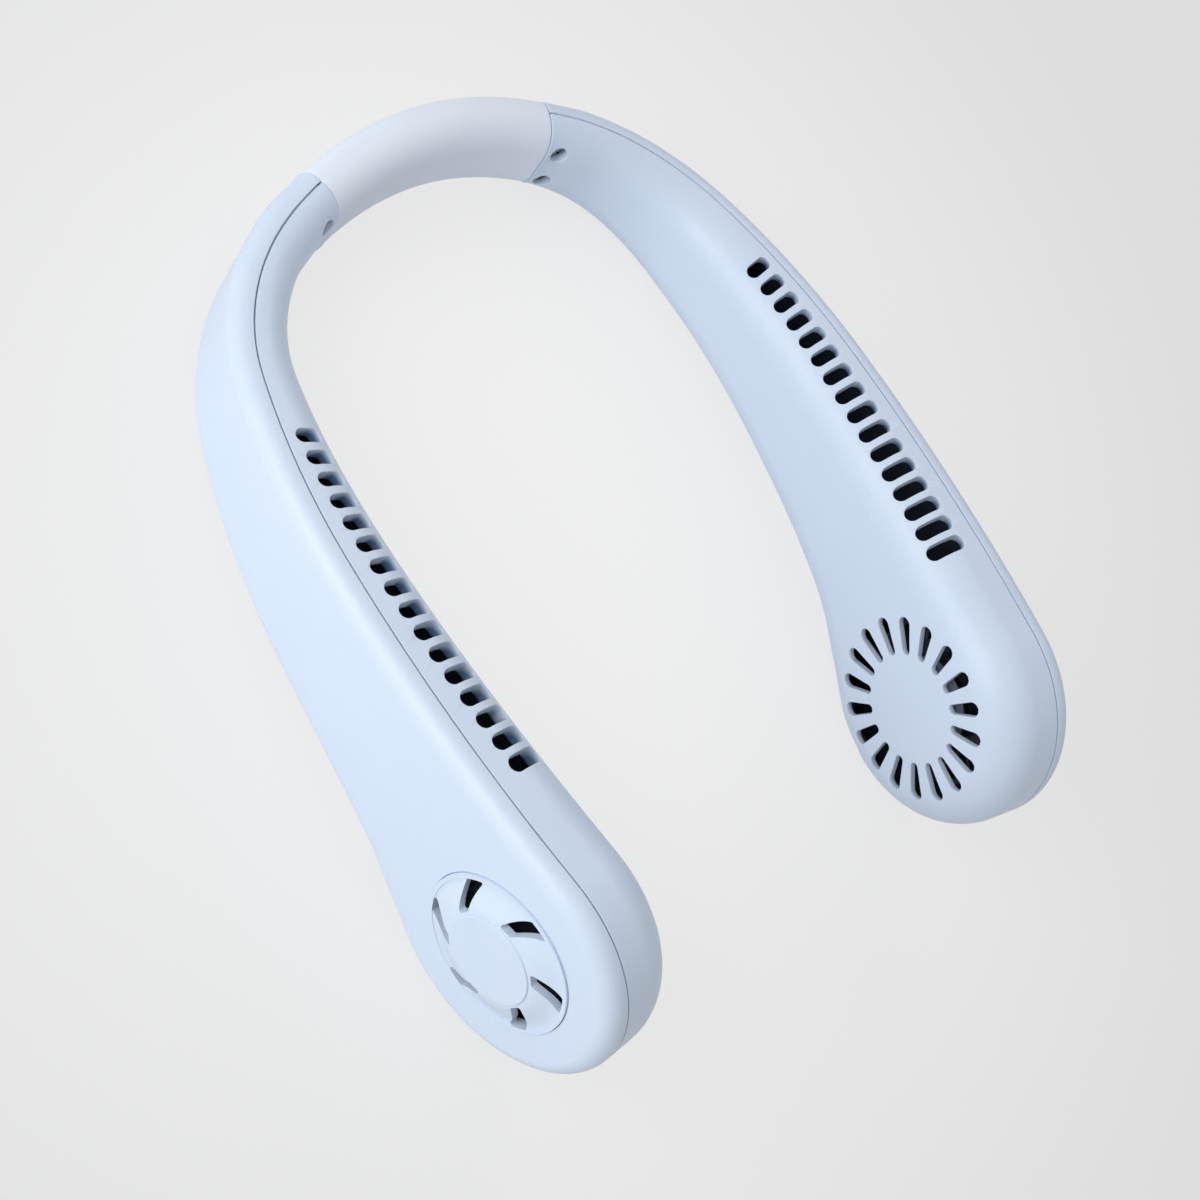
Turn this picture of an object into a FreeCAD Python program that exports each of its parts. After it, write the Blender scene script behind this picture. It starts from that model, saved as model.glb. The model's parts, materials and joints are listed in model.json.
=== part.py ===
"""Electric neck fan: two blower arms on a flexible neck band. Sizes are in millimetres.

The arms are drawn level, with X to the wearer's right, Y towards the back of the neck, Z up and the
fan axes at height zero. At the end everything is tilted together to lie as it does on a table.
"""
import FreeCAD
import Part
import math
import os

V = FreeCAD.Vector
os.makedirs("parts", exist_ok=True)

# Seam line seen from above, from the middle of the neck to the right bulb: arcs, then a straight run
NECK_BACK = 93.4
NECK_RADIUS = 108.0
NECK_TURN = 25.5
SHOULDER_RADIUS = 55.4
SHOULDER_TURN = 47.9
SIDE_RADIUS = 190.0
SIDE_TURN = 14.7
FRONT_RADIUS = 503.0
FRONT_TURN = 9.3
BULB_STRAIGHT = 6.4

# Arm sections: height, thickness and edge rounding where the arm changes
BULB_RADIUS = 33.5
TAIL_ANGLE = 26.0
BAND_HEIGHT = 24.0
JOINT_HEIGHT = 24.0
SHOULDER_HEIGHT = 32.0
SIDE_HEIGHT = 40.0
FRONT_HEIGHT = 49.3
BAND_RISE = 10.6
JOINT_THICK = 14.0
SIDE_THICK = 22.0
BULB_THICK = 24.9
LID_DEPTH = 5.6
LID_EDGE = 4.6
TUB_EDGE_JOINT = 8.1
TUB_EDGE_SIDE = 11.5
TUB_EDGE_BULB = 12.0
STATION_PITCH = 8.5

# Walls and fits shared by the arm pieces
WALL = 1.8
END_WALL = 1.4
SEAM_GAP = 0.35
LIP_INSET = 0.9
LIP_REACH = 1.6
LIP_PLAY = 0.12
SNUG = 0.15
OVERRUN = 2.0
FAR = 160.0

# Neck band
BAND_HALF = 37.4
SLEEVE_INSET = 0.25
SLEEVE_GAP = 0.15
STRIP_HEIGHT = 7.0
STRIP_THICK = 0.8
STRIP_OFFSET = -3.0
STRIP_REACH = 7.5
STRIP_PLAY = 0.12
CABLE_RADIUS = 1.2
CABLE_OFFSET = -0.2
CABLE_REACH = 10.0
PLUG_LENGTH = 8.0
NECK_SCREW_FROM_END = 3.9
NECK_SCREW_APART = 10.6
NECK_SCREW_HEAD = 1.95
NECK_SCREW_SHANK = 0.8
NECK_SCREW_HOLE = 2.25
NECK_SCREW_SINK = 2.0
NECK_SCREW_HEAD_TALL = 1.1
NECK_SCREW_LENGTH = 4.0
NECK_BOSS_RADIUS = 3.1
NECK_BOSS_FLOOR = 1.0
CROSS_WIDE = 0.55
CROSS_LONG = 2.2
CROSS_DEEP = 0.6

# Air vents along the top of each arm
VENT_COUNT = 16
VENT_PITCH = 6.05
VENT_FROM_SHOULDER = 17.0
VENT_WIDE_BACK = 3.6
VENT_WIDE_FRONT = 4.1
VENT_LONG_BACK = 7.2
VENT_LONG_FRONT = 10.8
VENT_LEAN_BACK = 17.0
VENT_LEAN_FRONT = 18.5
VENT_DEPTH = 6.5
RAIL_THICK = 1.5
RAIL_DEEP = 8.5
RAIL_BEYOND = 4.0

# Inner grille slots
SLOT_COUNT = 18
SLOT_FIRST_ANGLE = 3.0
SLOT_INNER = 14.6
SLOT_OUTER = 24.6
SLOT_WIDE_INNER = 2.4
SLOT_WIDE_OUTER = 3.7
SLOT_DEPTH = 5.0

# Swirl cover on the outer face
COVER_RADIUS = 20.8
COVER_RING = 1.1
COVER_FIT = 0.1
COVER_PROUD = 0.5
COVER_DEPTH = 3.2
COVER_STEP = 0.25
FLANGE_REACH = 1.4
FLANGE_THICK = 0.9
CAP_RADIUS = 11.7
CAP_RISE = 2.8
CAP_STEP = 0.5
CAP_WALL = 1.2
CAP_EDGE = 0.3
SAIL_THICK = 2.0
SAIL_STEPS = 7
OPENING_COUNT = 6
OPENING_FIRST_ANGLE = 21.0
OPENING_SWEEP = 20.0
OPENING_ANGLE = 16.0
OPENING_FROM_CAP = 0.7
OPENING_ROUND = 0.6

# Air duct liner
DUCT_WALL = 1.0
DUCT_HEIGHT = 13.0
DUCT_BACK_ROOM = 4.5
CHAMBER_BACK = 27.0
FAN_MOUTH = 25.6
COVER_MOUTH_ROOM = 0.4

# Blower wheel and motor, measured along the fan axis
WHEEL_RADIUS = 22.6
WHEEL_TOP_GAP = 0.8
WHEEL_DEPTH = 12.0
WHEEL_PLATE = 1.2
WHEEL_RIM = 1.4
BLADE_COUNT = 24
BLADE_THICK = 0.9
BLADE_INNER = 16.5
BLADE_LEAN = 28.0
BLADE_TRIM = 0.5
HUB_WALL = 1.2
ROTOR_RADIUS = 10.6
ROTOR_WALL = 0.8
ROTOR_FACE = 0.9
ROTOR_TALL = 8.2
MAGNET_THICK = 1.5
AIR_GAP = 0.35
STATOR_TALL = 5.4
STATOR_POLES = 6
POLE_WIDE = 2.2
POLE_TIP = 1.1
POLE_TIP_SHARE = 0.62
STATOR_HUB = 4.0
COIL_TALL_EXTRA = 0.5
COIL_THICK = 0.8
SHAFT_RADIUS = 1.0
SHAFT_PLAY = 0.04
SHAFT_END_GAP = 0.3
BEARING_RADIUS = 2.4
BEARING_LENGTH = 8.4
TUBE_WALL = 1.0
BASE_RADIUS = 12.4
BASE_THICK = 1.2
BASE_GAP = 1.1
SEAT_RADIUS = 12.6
MOTOR_SCREWS = 3
MOTOR_SCREW_CIRCLE = 8.4
MOTOR_SCREW_RADIUS = 0.7
MOTOR_SCREW_HEAD = 1.4
MOTOR_SCREW_TALL = 0.7
MOTOR_SCREW_LENGTH = 2.4

# Battery
CELL_LENGTH = 48.0
CELL_TALL = 17.0
CELL_THICK = 10.4
CELL_EDGE = 2.0
CELL_FROM_SHOULDER = 80.0
CELL_LIFT = 5.4
CELL_OFFSET = -6.9
CRADLE_THICK = 1.6
CRADLE_APART = 30.0

# Circuit board, charging socket, switch, button and light on the right arm
BOARD_FROM_SHOULDER = 35.0
BOARD_LONG = 25.0
BOARD_TALL = 12.6
BOARD_THICK = 1.0
BOARD_OFFSET = -5.6
BOARD_FLOOR_ROOM = 0.6
POST_RADIUS = 1.8
POST_APART = 13.0
BOARD_SCREW_RADIUS = 0.6
BOARD_SCREW_HEAD = 1.3
BOARD_SCREW_TALL = 0.6
BOARD_SCREW_LENGTH = 3.2
SOCKET_WIDE = 8.9
SOCKET_TALL = 7.3
SOCKET_THICK = 3.2
SOCKET_WALL = 0.35
SOCKET_TONGUE = 0.7
SOCKET_PLAY = 0.2
SOCKET_SINK = 0.3
SWITCH_SIDE = 4.5
SWITCH_TALL = 2.4
SWITCH_PLUNGER = 0.9
SWITCH_PLUNGER_TALL = 0.7
SWITCH_LIFT = 3.4
BUTTON_LONG = 13.0
BUTTON_WIDE = 5.2
BUTTON_PROUD = 0.5
BUTTON_ROUND_SHARE = 0.8
BUTTON_PLAY = 0.3
BUTTON_FLANGE = 1.3
BUTTON_FLANGE_THICK = 0.9
BUTTON_STEM = 1.2
BUTTON_TRAVEL = 0.5
BUTTON_CLEAR = 0.15
LIGHT_RADIUS = 1.2
LIGHT_PLAY = 0.05
LIGHT_FLANGE = 0.8
LIGHT_FLANGE_THICK = 0.7
LIGHT_AHEAD = 11.0
LED_LONG = 2.0
LED_WIDE = 1.2
LED_TALL = 0.8

ARCS = (
    (NECK_RADIUS, math.radians(NECK_TURN)),
    (SHOULDER_RADIUS, math.radians(SHOULDER_TURN)),
    (SIDE_RADIUS, math.radians(SIDE_TURN)),
    (FRONT_RADIUS, math.radians(FRONT_TURN)),
)


def heading_vectors(angle):
    """Forward and outward directions for a heading turned right by angle from +X."""
    return V(math.cos(angle), -math.sin(angle), 0), V(math.sin(angle), math.cos(angle), 0)


def lay_curve():
    """Start length, start point, start heading, radius and turn of each arc, then the end of the last."""
    rows = []
    length, point, angle = 0.0, V(0, NECK_BACK, 0), 0.0
    for radius, turn in ARCS:
        rows.append((length, point, angle, radius, turn))
        centre = point - heading_vectors(angle)[1] * radius
        point = centre + heading_vectors(angle + turn)[1] * radius
        length += radius * turn
        angle += turn
    return rows, (length, point, angle)


CURVE, CURVE_END = lay_curve()
S_JOINT = BAND_HALF
S_NECK = CURVE[1][0]
S_SHOULDER = CURVE[2][0]
S_SIDE = CURVE[3][0]
S_BULB = CURVE_END[0] + BULB_STRAIGHT
S_FRONT = (S_SIDE + S_BULB) / 2
S_TAIL = S_BULB - BULB_RADIUS * math.sin(math.radians(TAIL_ANGLE))


def seam_point(s):
    """Point and heading angle on the seam line at length s from the middle of the neck."""
    length, point, angle = CURVE_END
    if s >= length:
        return point + heading_vectors(angle)[0] * (s - length), angle
    row = [r for r in CURVE if r[0] <= max(s, 0)][-1]
    start, point, angle, radius, turn = row
    centre = point - heading_vectors(angle)[1] * radius
    here = angle + (s - start) / radius
    return centre + heading_vectors(here)[1] * radius, here


def local_frame(s, height=0.0):
    """Placement whose x is forward along the arm, y outward and z up, on the seam line at s."""
    point, angle = seam_point(s)
    forward, outward = heading_vectors(angle)
    m = FreeCAD.Matrix()
    m.A11, m.A21, m.A31 = forward.x, forward.y, forward.z
    m.A12, m.A22, m.A32 = outward.x, outward.y, outward.z
    m.A14, m.A24, m.A34 = point.x, point.y, height
    return FreeCAD.Placement(m)


def set_at(shape, frame):
    """Copy of a shape drawn in local axes, moved into the arm."""
    moved = shape.copy()
    moved.Placement = frame.multiply(moved.Placement)
    return moved


def ease(share):
    """Smooth step from 0 to 1."""
    share = min(max(share, 0.0), 1.0)
    return share * share * (3 - 2 * share)


def blend(s, stops, end_slope=0.0):
    """Smooth value at s through (length, value) stops, level at the first and end_slope at the last."""
    if s <= stops[0][0]:
        return stops[0][1]
    if s >= stops[-1][0]:
        return stops[-1][1]
    gaps = [b[0] - a[0] for a, b in zip(stops, stops[1:])]
    rates = [(b[1] - a[1]) / gap for (a, b), gap in zip(zip(stops, stops[1:]), gaps)]
    slopes = [0.0]
    for before, after in zip(rates, rates[1:]):
        slopes.append(2 * before * after / (before + after) if before * after > 0 else 0.0)
    slopes.append(end_slope)
    k = max(i for i, stop in enumerate(stops[:-1]) if stop[0] <= s)
    t = (s - stops[k][0]) / gaps[k]
    value = stops[k][1] * (1 + 2 * t) * (1 - t) ** 2 + stops[k + 1][1] * t * t * (3 - 2 * t)
    return value + gaps[k] * (slopes[k] * t * (1 - t) ** 2 - slopes[k + 1] * t * t * (1 - t))


def top_height(s):
    """Height of the arm's top line: level over the arm and rising to the neck."""
    return BULB_RADIUS + BAND_RISE * (1 - ease(s / S_SHOULDER))


def arm_height(s):
    """Height of the section: smooth through the stops, then the bulb's own circle."""
    if s >= S_TAIL:
        behind = min(S_BULB - s, BULB_RADIUS)
        return BULB_RADIUS + math.sqrt(BULB_RADIUS ** 2 - behind ** 2)
    tail = BULB_RADIUS * (1 + math.cos(math.radians(TAIL_ANGLE)))
    stops = ((0.0, BAND_HEIGHT), (S_JOINT, JOINT_HEIGHT), (S_SHOULDER, SHOULDER_HEIGHT))
    stops += ((S_SIDE, SIDE_HEIGHT), (S_FRONT, FRONT_HEIGHT), (S_TAIL, tail))
    return blend(s, stops, math.tan(math.radians(TAIL_ANGLE)))


def arm_thick(s):
    """Thickness of the section from the inner face to the outer face."""
    return blend(s, ((S_JOINT, JOINT_THICK), (S_SIDE, SIDE_THICK), (S_BULB, BULB_THICK)))


def tub_edge(s):
    """Rounding of the edges beside the inner face."""
    return blend(s, ((S_JOINT, TUB_EDGE_JOINT), (S_SIDE, TUB_EDGE_SIDE), (S_BULB, TUB_EDGE_BULB)))


def section_limits(s, inset):
    """Outer, inner, top and bottom limits and the two roundings of an inset section."""
    outer = LID_DEPTH - inset
    inner = LID_DEPTH - arm_thick(s) + inset
    top = top_height(s) - inset
    bottom = top_height(s) - arm_height(s) + inset
    return outer, inner, top, bottom, LID_EDGE - inset, tub_edge(s) - inset


def corner(centre_y, centre_z, radius, start):
    """Quarter arc in local y and z about a centre, turning from the start angle."""
    points = []
    for part in range(3):
        angle = math.radians(start + 90 * part / 2)
        points.append(V(0, centre_y + radius * math.cos(angle), centre_z + radius * math.sin(angle)))
    return Part.Arc(*points).toShape()


def ring_of(arcs):
    """Closed wire of arcs in order, joined by straight edges."""
    edges = []
    for arc, following in zip(arcs, arcs[1:] + arcs[:1]):
        edges.append(arc)
        edges.append(Part.makeLine(arc.lastVertex().Point, following.firstVertex().Point))
    return Part.Wire(edges)


def section_wire(s, inset):
    """Rounded section of the arm at s, as a wire in its place."""
    outer, inner, top, bottom, lid_r, tub_r = section_limits(s, inset)
    arcs = [
        corner(outer - lid_r, top - lid_r, lid_r, 0),
        corner(inner + tub_r, top - tub_r, tub_r, 90),
        corner(inner + tub_r, bottom + tub_r, tub_r, 180),
        corner(outer - lid_r, bottom + lid_r, lid_r, 270),
    ]
    return set_at(ring_of(arcs), local_frame(s))


def bulb_tip(inset):
    """Front half of the bulb: the upper half of the middle section turned about the fan axis."""
    outer, inner, top, bottom, lid_r, tub_r = section_limits(S_BULB, inset)
    lid_arc = corner(outer - lid_r, top - lid_r, lid_r, 0)
    tub_arc = corner(inner + tub_r, top - tub_r, tub_r, 90)
    edges = [
        Part.makeLine(V(0, outer, 0), lid_arc.firstVertex().Point),
        lid_arc,
        Part.makeLine(lid_arc.lastVertex().Point, tub_arc.firstVertex().Point),
        tub_arc,
        Part.makeLine(tub_arc.lastVertex().Point, V(0, inner, 0)),
        Part.makeLine(V(0, inner, 0), V(0, outer, 0)),
    ]
    half = Part.Face(Part.Wire(edges))
    return set_at(half.revolve(V(0, 0, 0), V(0, 1, 0), 180), local_frame(S_BULB))


def spread(first, last):
    """Evenly spaced lengths from first to last, about one station pitch apart."""
    steps = max(2, round((last - first) / STATION_PITCH))
    return [first + (last - first) * k / steps for k in range(steps + 1)]


def arm_solid(inset, start):
    """Whole arm from the length start to the bulb's tip, drawn in by inset on every side."""
    loft = Part.makeLoft([section_wire(s, inset) for s in spread(start, S_BULB)], True, False)
    return loft.fuse(bulb_tip(inset))


def outside(offset):
    """Tall block beyond the seam line, with that line moved outward by offset."""
    edges = []
    for start, point, angle, radius, turn in CURVE:
        centre = point - heading_vectors(angle)[1] * radius
        bow = [centre + heading_vectors(angle + turn * k / 2)[1] * (radius + offset) for k in range(3)]
        edges.append(Part.Arc(*bow).toShape())
    forward, outward = heading_vectors(CURVE_END[2])
    last = CURVE_END[1] + outward * offset
    tip = last + forward * (BULB_STRAIGHT + BULB_RADIUS + OVERRUN)
    corners = [last, tip, tip + outward * FAR]
    corners += [V(x, NECK_BACK + FAR, 0) for x in (tip.x + FAR, 0)]
    corners.append(V(0, NECK_BACK + offset, 0))
    edges += [Part.makeLine(a, b) for a, b in zip(corners, corners[1:])]
    face = Part.Face(Part.Wire(edges))
    face.translate(V(0, 0, -FAR))
    return face.extrude(V(0, 0, 2 * FAR))


def box(x_mid, y_low, z_mid, x_size, y_size, z_size):
    """Block in local axes, centred in x and z and standing on y_low."""
    return Part.makeBox(x_size, y_size, z_size, V(x_mid - x_size / 2, y_low, z_mid - z_size / 2))


def pin(radius, y_low, length, x=0.0, z=0.0):
    """Round bar along the outward direction in local axes."""
    return Part.makeCylinder(radius, length, V(x, y_low, z), V(0, 1, 0))


def tube(outer, inner, y_low, length):
    """Round tube along the outward direction in local axes."""
    return pin(outer, y_low, length).cut(pin(inner, y_low - OVERRUN, length + 2 * OVERRUN))


def stadium(length, width, y_low, depth):
    """Upright round-ended bar in local axes, long in x."""
    straight = length - width
    bar = box(0, y_low, 0, straight, depth, width)
    ends = [pin(width / 2, y_low, depth, x) for x in (-straight / 2, straight / 2)]
    return bar.multiFuse(ends).removeSplitter()


def around_axis(shape, count, first=0.0):
    """Copies of a local shape spaced evenly about the fan axis."""
    copies = []
    for k in range(count):
        turned = shape.copy()
        turned.rotate(V(0, 0, 0), V(0, 1, 0), -(first + 360.0 * k / count))
        copies.append(turned)
    return copies


FAN = local_frame(S_BULB)
FACE_Y = LID_DEPTH
TUB_INNER_Y = LID_DEPTH - BULB_THICK + WALL
COVER_TOP_Y = FACE_Y + COVER_PROUD
COVER_LOW_Y = COVER_TOP_Y - COVER_DEPTH
COVER_INNER = COVER_RADIUS - COVER_RING
CAP_TOP_Y = COVER_TOP_Y + CAP_RISE
WHEEL_TOP_Y = COVER_LOW_Y - WHEEL_TOP_GAP
WHEEL_LOW_Y = WHEEL_TOP_Y - WHEEL_DEPTH
WHEEL_MID_Y = (WHEEL_TOP_Y + WHEEL_LOW_Y) / 2
HUB_RADIUS = ROTOR_RADIUS + HUB_WALL
BASE_LOW_Y = WHEEL_LOW_Y - BASE_GAP - BASE_THICK
BASE_TOP_Y = BASE_LOW_Y + BASE_THICK
ROTOR_LOW_Y = BASE_TOP_Y + BASE_GAP
ROTOR_TOP_Y = ROTOR_LOW_Y + ROTOR_TALL
MAGNET_INNER = ROTOR_RADIUS - ROTOR_WALL - MAGNET_THICK
STATOR_RADIUS = MAGNET_INNER - AIR_GAP
STATOR_LOW_Y = ROTOR_LOW_Y + (ROTOR_TALL - ROTOR_FACE - STATOR_TALL) / 2
TUBE_RADIUS = BEARING_RADIUS + TUBE_WALL
DUCT_FLOOR_Z = BULB_RADIUS - WALL - SNUG - DUCT_HEIGHT


def vent_cutters():
    """One slanted slot for each vent, square to the rounded top edge where it stands."""
    cutters = []
    for k in range(VENT_COUNT):
        share = k / max(VENT_COUNT - 1, 1)
        s = S_SHOULDER + VENT_FROM_SHOULDER + VENT_PITCH * k
        lean = VENT_LEAN_BACK + (VENT_LEAN_FRONT - VENT_LEAN_BACK) * share
        long = VENT_LONG_BACK + (VENT_LONG_FRONT - VENT_LONG_BACK) * share
        wide = VENT_WIDE_BACK + (VENT_WIDE_FRONT - VENT_WIDE_BACK) * share
        inner = LID_DEPTH - arm_thick(s)
        edge = tub_edge(s)
        y = inner + edge - edge * math.sin(math.radians(lean))
        z = top_height(s) - edge + edge * math.cos(math.radians(lean))
        slot = stadium(long, wide, -VENT_DEPTH, VENT_DEPTH + OVERRUN)
        slot.rotate(V(0, 0, 0), V(0, 1, 0), 90)
        slot.rotate(V(0, 0, 0), V(1, 0, 0), 90 + lean)
        slot.translate(V(0, y, z))
        cutters.append(set_at(slot, local_frame(s)))
    return cutters


def rail_block(room):
    """Space of the thicker wall behind the vents, inside the seam line, with room around it."""
    first = S_SHOULDER + VENT_FROM_SHOULDER
    last = first + VENT_PITCH * (VENT_COUNT - 1)
    back = seam_point(first - RAIL_BEYOND)[0].y + room
    front = seam_point(last + RAIL_BEYOND)[0].y - room
    block = Part.makeBox(FAR, back - front, FAR, V(0, front, BULB_RADIUS - RAIL_DEEP - room))
    return block.cut(outside(room - SEAM_GAP))


def grille_cutters():
    """Tapered slots with round ends, set like spokes in the inner face."""
    r_in, r_out = SLOT_WIDE_INNER / 2, SLOT_WIDE_OUTER / 2
    x_in, x_out = SLOT_INNER + r_in, SLOT_OUTER - r_out
    tilt = math.asin((r_out - r_in) / (x_out - x_in))
    side = V(-math.sin(tilt), 0, math.cos(tilt))
    flip = V(side.x, 0, -side.z)
    low = FACE_Y - BULB_THICK - OVERRUN
    ends = [V(x_in, low, 0), V(x_out, low, 0)]
    edges = [
        Part.makeLine(ends[0] + side * r_in, ends[1] + side * r_out),
        Part.Arc(ends[1] + side * r_out, ends[1] + V(r_out, 0, 0), ends[1] + flip * r_out).toShape(),
        Part.makeLine(ends[1] + flip * r_out, ends[0] + flip * r_in),
        Part.Arc(ends[0] + flip * r_in, ends[0] - V(r_in, 0, 0), ends[0] + side * r_in).toShape(),
    ]
    slot = Part.Face(Part.Wire(edges)).extrude(V(0, SLOT_DEPTH + OVERRUN, 0))
    return [set_at(c, FAN) for c in around_axis(slot, SLOT_COUNT, SLOT_FIRST_ANGLE)]


def through(points):
    """Smooth edge through points."""
    curve = Part.BSplineCurve()
    curve.interpolate(points)
    return curve.toShape()


def swirl_body():
    """Cap, sloping sails and ring, turned in one piece about the fan axis."""
    sail_high, sail_low = CAP_TOP_Y - CAP_STEP, COVER_TOP_Y - COVER_STEP
    slope = []
    for k in range(SAIL_STEPS):
        across = k / (SAIL_STEPS - 1)
        radius = CAP_RADIUS + (COVER_INNER - CAP_RADIUS) * across
        slope.append(V(radius, sail_high + (sail_low - sail_high) * ease(across), 0))
    under = [point - V(0, SAIL_THICK, 0) for point in reversed(slope)]
    round_off = CAP_EDGE * (1 - math.sqrt(0.5))
    rim = [
        V(CAP_RADIUS - CAP_EDGE, CAP_TOP_Y, 0),
        V(CAP_RADIUS - round_off, CAP_TOP_Y - round_off, 0),
        V(CAP_RADIUS, CAP_TOP_Y - CAP_EDGE, 0),
    ]
    ring = [
        V(COVER_INNER, COVER_TOP_Y, 0),
        V(COVER_RADIUS, COVER_TOP_Y, 0),
        V(COVER_RADIUS, COVER_LOW_Y, 0),
        V(COVER_INNER, COVER_LOW_Y, 0),
    ]
    hollow = [
        V(CAP_RADIUS - CAP_WALL, sail_high - SAIL_THICK, 0),
        V(CAP_RADIUS - CAP_WALL, CAP_TOP_Y - CAP_WALL, 0),
        V(0, CAP_TOP_Y - CAP_WALL, 0),
        V(0, CAP_TOP_Y, 0),
    ]
    edges = [Part.Arc(*rim).toShape(), Part.makeLine(rim[-1], slope[0]), through(slope)]
    edges += Part.makePolygon(slope[-1:] + ring + under[:1]).Edges
    edges += [through(under)] + Part.makePolygon(under[-1:] + hollow + rim[:1]).Edges
    return Part.Face(Part.Wire(edges)).revolve(V(0, 0, 0), V(0, 1, 0), 360)


def swirl_opening():
    """Cutter for one curved opening between the cap and the ring, leaning back towards the ring."""
    low = COVER_LOW_Y - OVERRUN
    start = CAP_RADIUS + OPENING_FROM_CAP

    def point(side, across):
        radius = start + (COVER_INNER - start) * across
        turn = OPENING_FIRST_ANGLE + side * OPENING_ANGLE / 2 + OPENING_SWEEP * (1 - across)
        return V(radius * math.cos(math.radians(turn)), low, radius * math.sin(math.radians(turn)))

    shares = [k / (SAIL_STEPS - 1) for k in range(SAIL_STEPS)]
    edges = [
        through([point(-1, share) for share in shares]),
        Part.Arc(point(-1, 1), point(0, 1), point(1, 1)).toShape(),
        through([point(1, share) for share in reversed(shares)]),
        Part.Arc(point(1, 0), point(0, 0), point(-1, 0)).toShape(),
    ]
    bar = Part.Face(Part.Wire(edges)).extrude(V(0, CAP_TOP_Y + OVERRUN - low, 0))
    upright = [e for e in bar.Edges if e.BoundBox.YLength > OVERRUN]
    return bar.makeFillet(OPENING_ROUND, upright)


def swirl_cover(cavity):
    """Cap, sails and ring with swirl openings, and a flange behind the lid."""
    flange_low = FACE_Y - WALL - FLANGE_THICK
    flange = tube(COVER_RADIUS + FLANGE_REACH, COVER_INNER, flange_low, FLANGE_THICK)
    openings = around_axis(swirl_opening(), OPENING_COUNT)
    cover = swirl_body().cut(Part.Compound(openings))
    return set_at(cover, FAN).fuse(set_at(flange, FAN).common(cavity))


def blower_wheel():
    """Double-sided blower wheel: hub cup, middle plate, blades and two rims."""
    hub = tube(HUB_RADIUS, ROTOR_RADIUS, ROTOR_LOW_Y, ROTOR_TOP_Y - ROTOR_LOW_Y)
    crown = tube(HUB_RADIUS, SHAFT_RADIUS + HUB_WALL, ROTOR_TOP_Y, HUB_WALL)
    plate = tube(WHEEL_RADIUS - WHEEL_RIM / 2, ROTOR_RADIUS + HUB_WALL / 2, WHEEL_MID_Y, WHEEL_PLATE)
    pieces = [crown, plate]
    for low in (WHEEL_LOW_Y, WHEEL_TOP_Y - WHEEL_RIM):
        pieces.append(tube(WHEEL_RADIUS, WHEEL_RADIUS - WHEEL_RIM, low, WHEEL_RIM))
    chord = (WHEEL_RADIUS - BLADE_INNER) / math.cos(math.radians(BLADE_LEAN)) - WHEEL_RIM / 2
    blade = Part.makeBox(chord, WHEEL_DEPTH, BLADE_THICK, V(0, WHEEL_LOW_Y, -BLADE_THICK / 2))
    blade.rotate(V(0, 0, 0), V(0, 1, 0), BLADE_LEAN)
    blade.translate(V(BLADE_INNER, 0, 0))
    blade = blade.common(pin(WHEEL_RADIUS - BLADE_TRIM, WHEEL_LOW_Y, WHEEL_DEPTH))
    return hub.multiFuse(pieces + around_axis(blade, BLADE_COUNT))


def rotor_can():
    """Steel cup round the magnets, open towards the motor base."""
    cup = pin(ROTOR_RADIUS, ROTOR_LOW_Y, ROTOR_TALL)
    hollow = pin(ROTOR_RADIUS - ROTOR_WALL, ROTOR_LOW_Y - OVERRUN, ROTOR_TALL - ROTOR_FACE + OVERRUN)
    return cup.cut(hollow).cut(pin(SHAFT_RADIUS, ROTOR_LOW_Y, ROTOR_TALL + OVERRUN))


def stator_core():
    """Laminated star on the bearing tube."""
    core = tube(STATOR_HUB, TUBE_RADIUS, STATOR_LOW_Y, STATOR_TALL)
    arm_long = STATOR_RADIUS - POLE_TIP / 2 - TUBE_RADIUS
    arm_mid = TUBE_RADIUS + (STATOR_HUB - TUBE_RADIUS) / 2 + arm_long / 2
    pole = box(arm_mid, STATOR_LOW_Y, 0, arm_long, STATOR_TALL, POLE_WIDE)
    pole = pole.common(pin(STATOR_RADIUS - POLE_TIP / 2, STATOR_LOW_Y, STATOR_TALL))
    reach = 2 * STATOR_RADIUS * math.sin(math.pi / STATOR_POLES) * POLE_TIP_SHARE
    tip = tube(STATOR_RADIUS, STATOR_RADIUS - POLE_TIP, STATOR_LOW_Y, STATOR_TALL)
    tip = tip.common(box(STATOR_RADIUS / 2, STATOR_LOW_Y, 0, STATOR_RADIUS + POLE_TIP, STATOR_TALL, reach))
    return core.multiFuse(around_axis(pole, STATOR_POLES) + around_axis(tip, STATOR_POLES)).removeSplitter()


def windings(core):
    """Copper coil round each pole of the stator."""
    long = STATOR_RADIUS - POLE_TIP - STATOR_HUB - 2 * COIL_TALL_EXTRA
    low = STATOR_LOW_Y - COIL_TALL_EXTRA
    tall = STATOR_TALL + 2 * COIL_TALL_EXTRA
    mid = STATOR_HUB + COIL_TALL_EXTRA + long / 2
    coil = box(mid, low, 0, long, tall, POLE_WIDE + 2 * COIL_THICK).cut(core)
    return Part.Compound(around_axis(coil, STATOR_POLES))


def motor_base():
    """Round plate on the tub's seat, with the tube that holds the bearing."""
    plate = pin(BASE_RADIUS, BASE_LOW_Y, BASE_THICK)
    post = pin(TUBE_RADIUS, BASE_LOW_Y, BEARING_LENGTH)
    bore = pin(BEARING_RADIUS, BASE_LOW_Y, BEARING_LENGTH + OVERRUN)
    hole = pin(MOTOR_SCREW_RADIUS, BASE_LOW_Y, BASE_THICK, MOTOR_SCREW_CIRCLE)
    return plate.fuse(post).cut(Part.Compound([bore] + around_axis(hole, MOTOR_SCREWS)))


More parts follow.
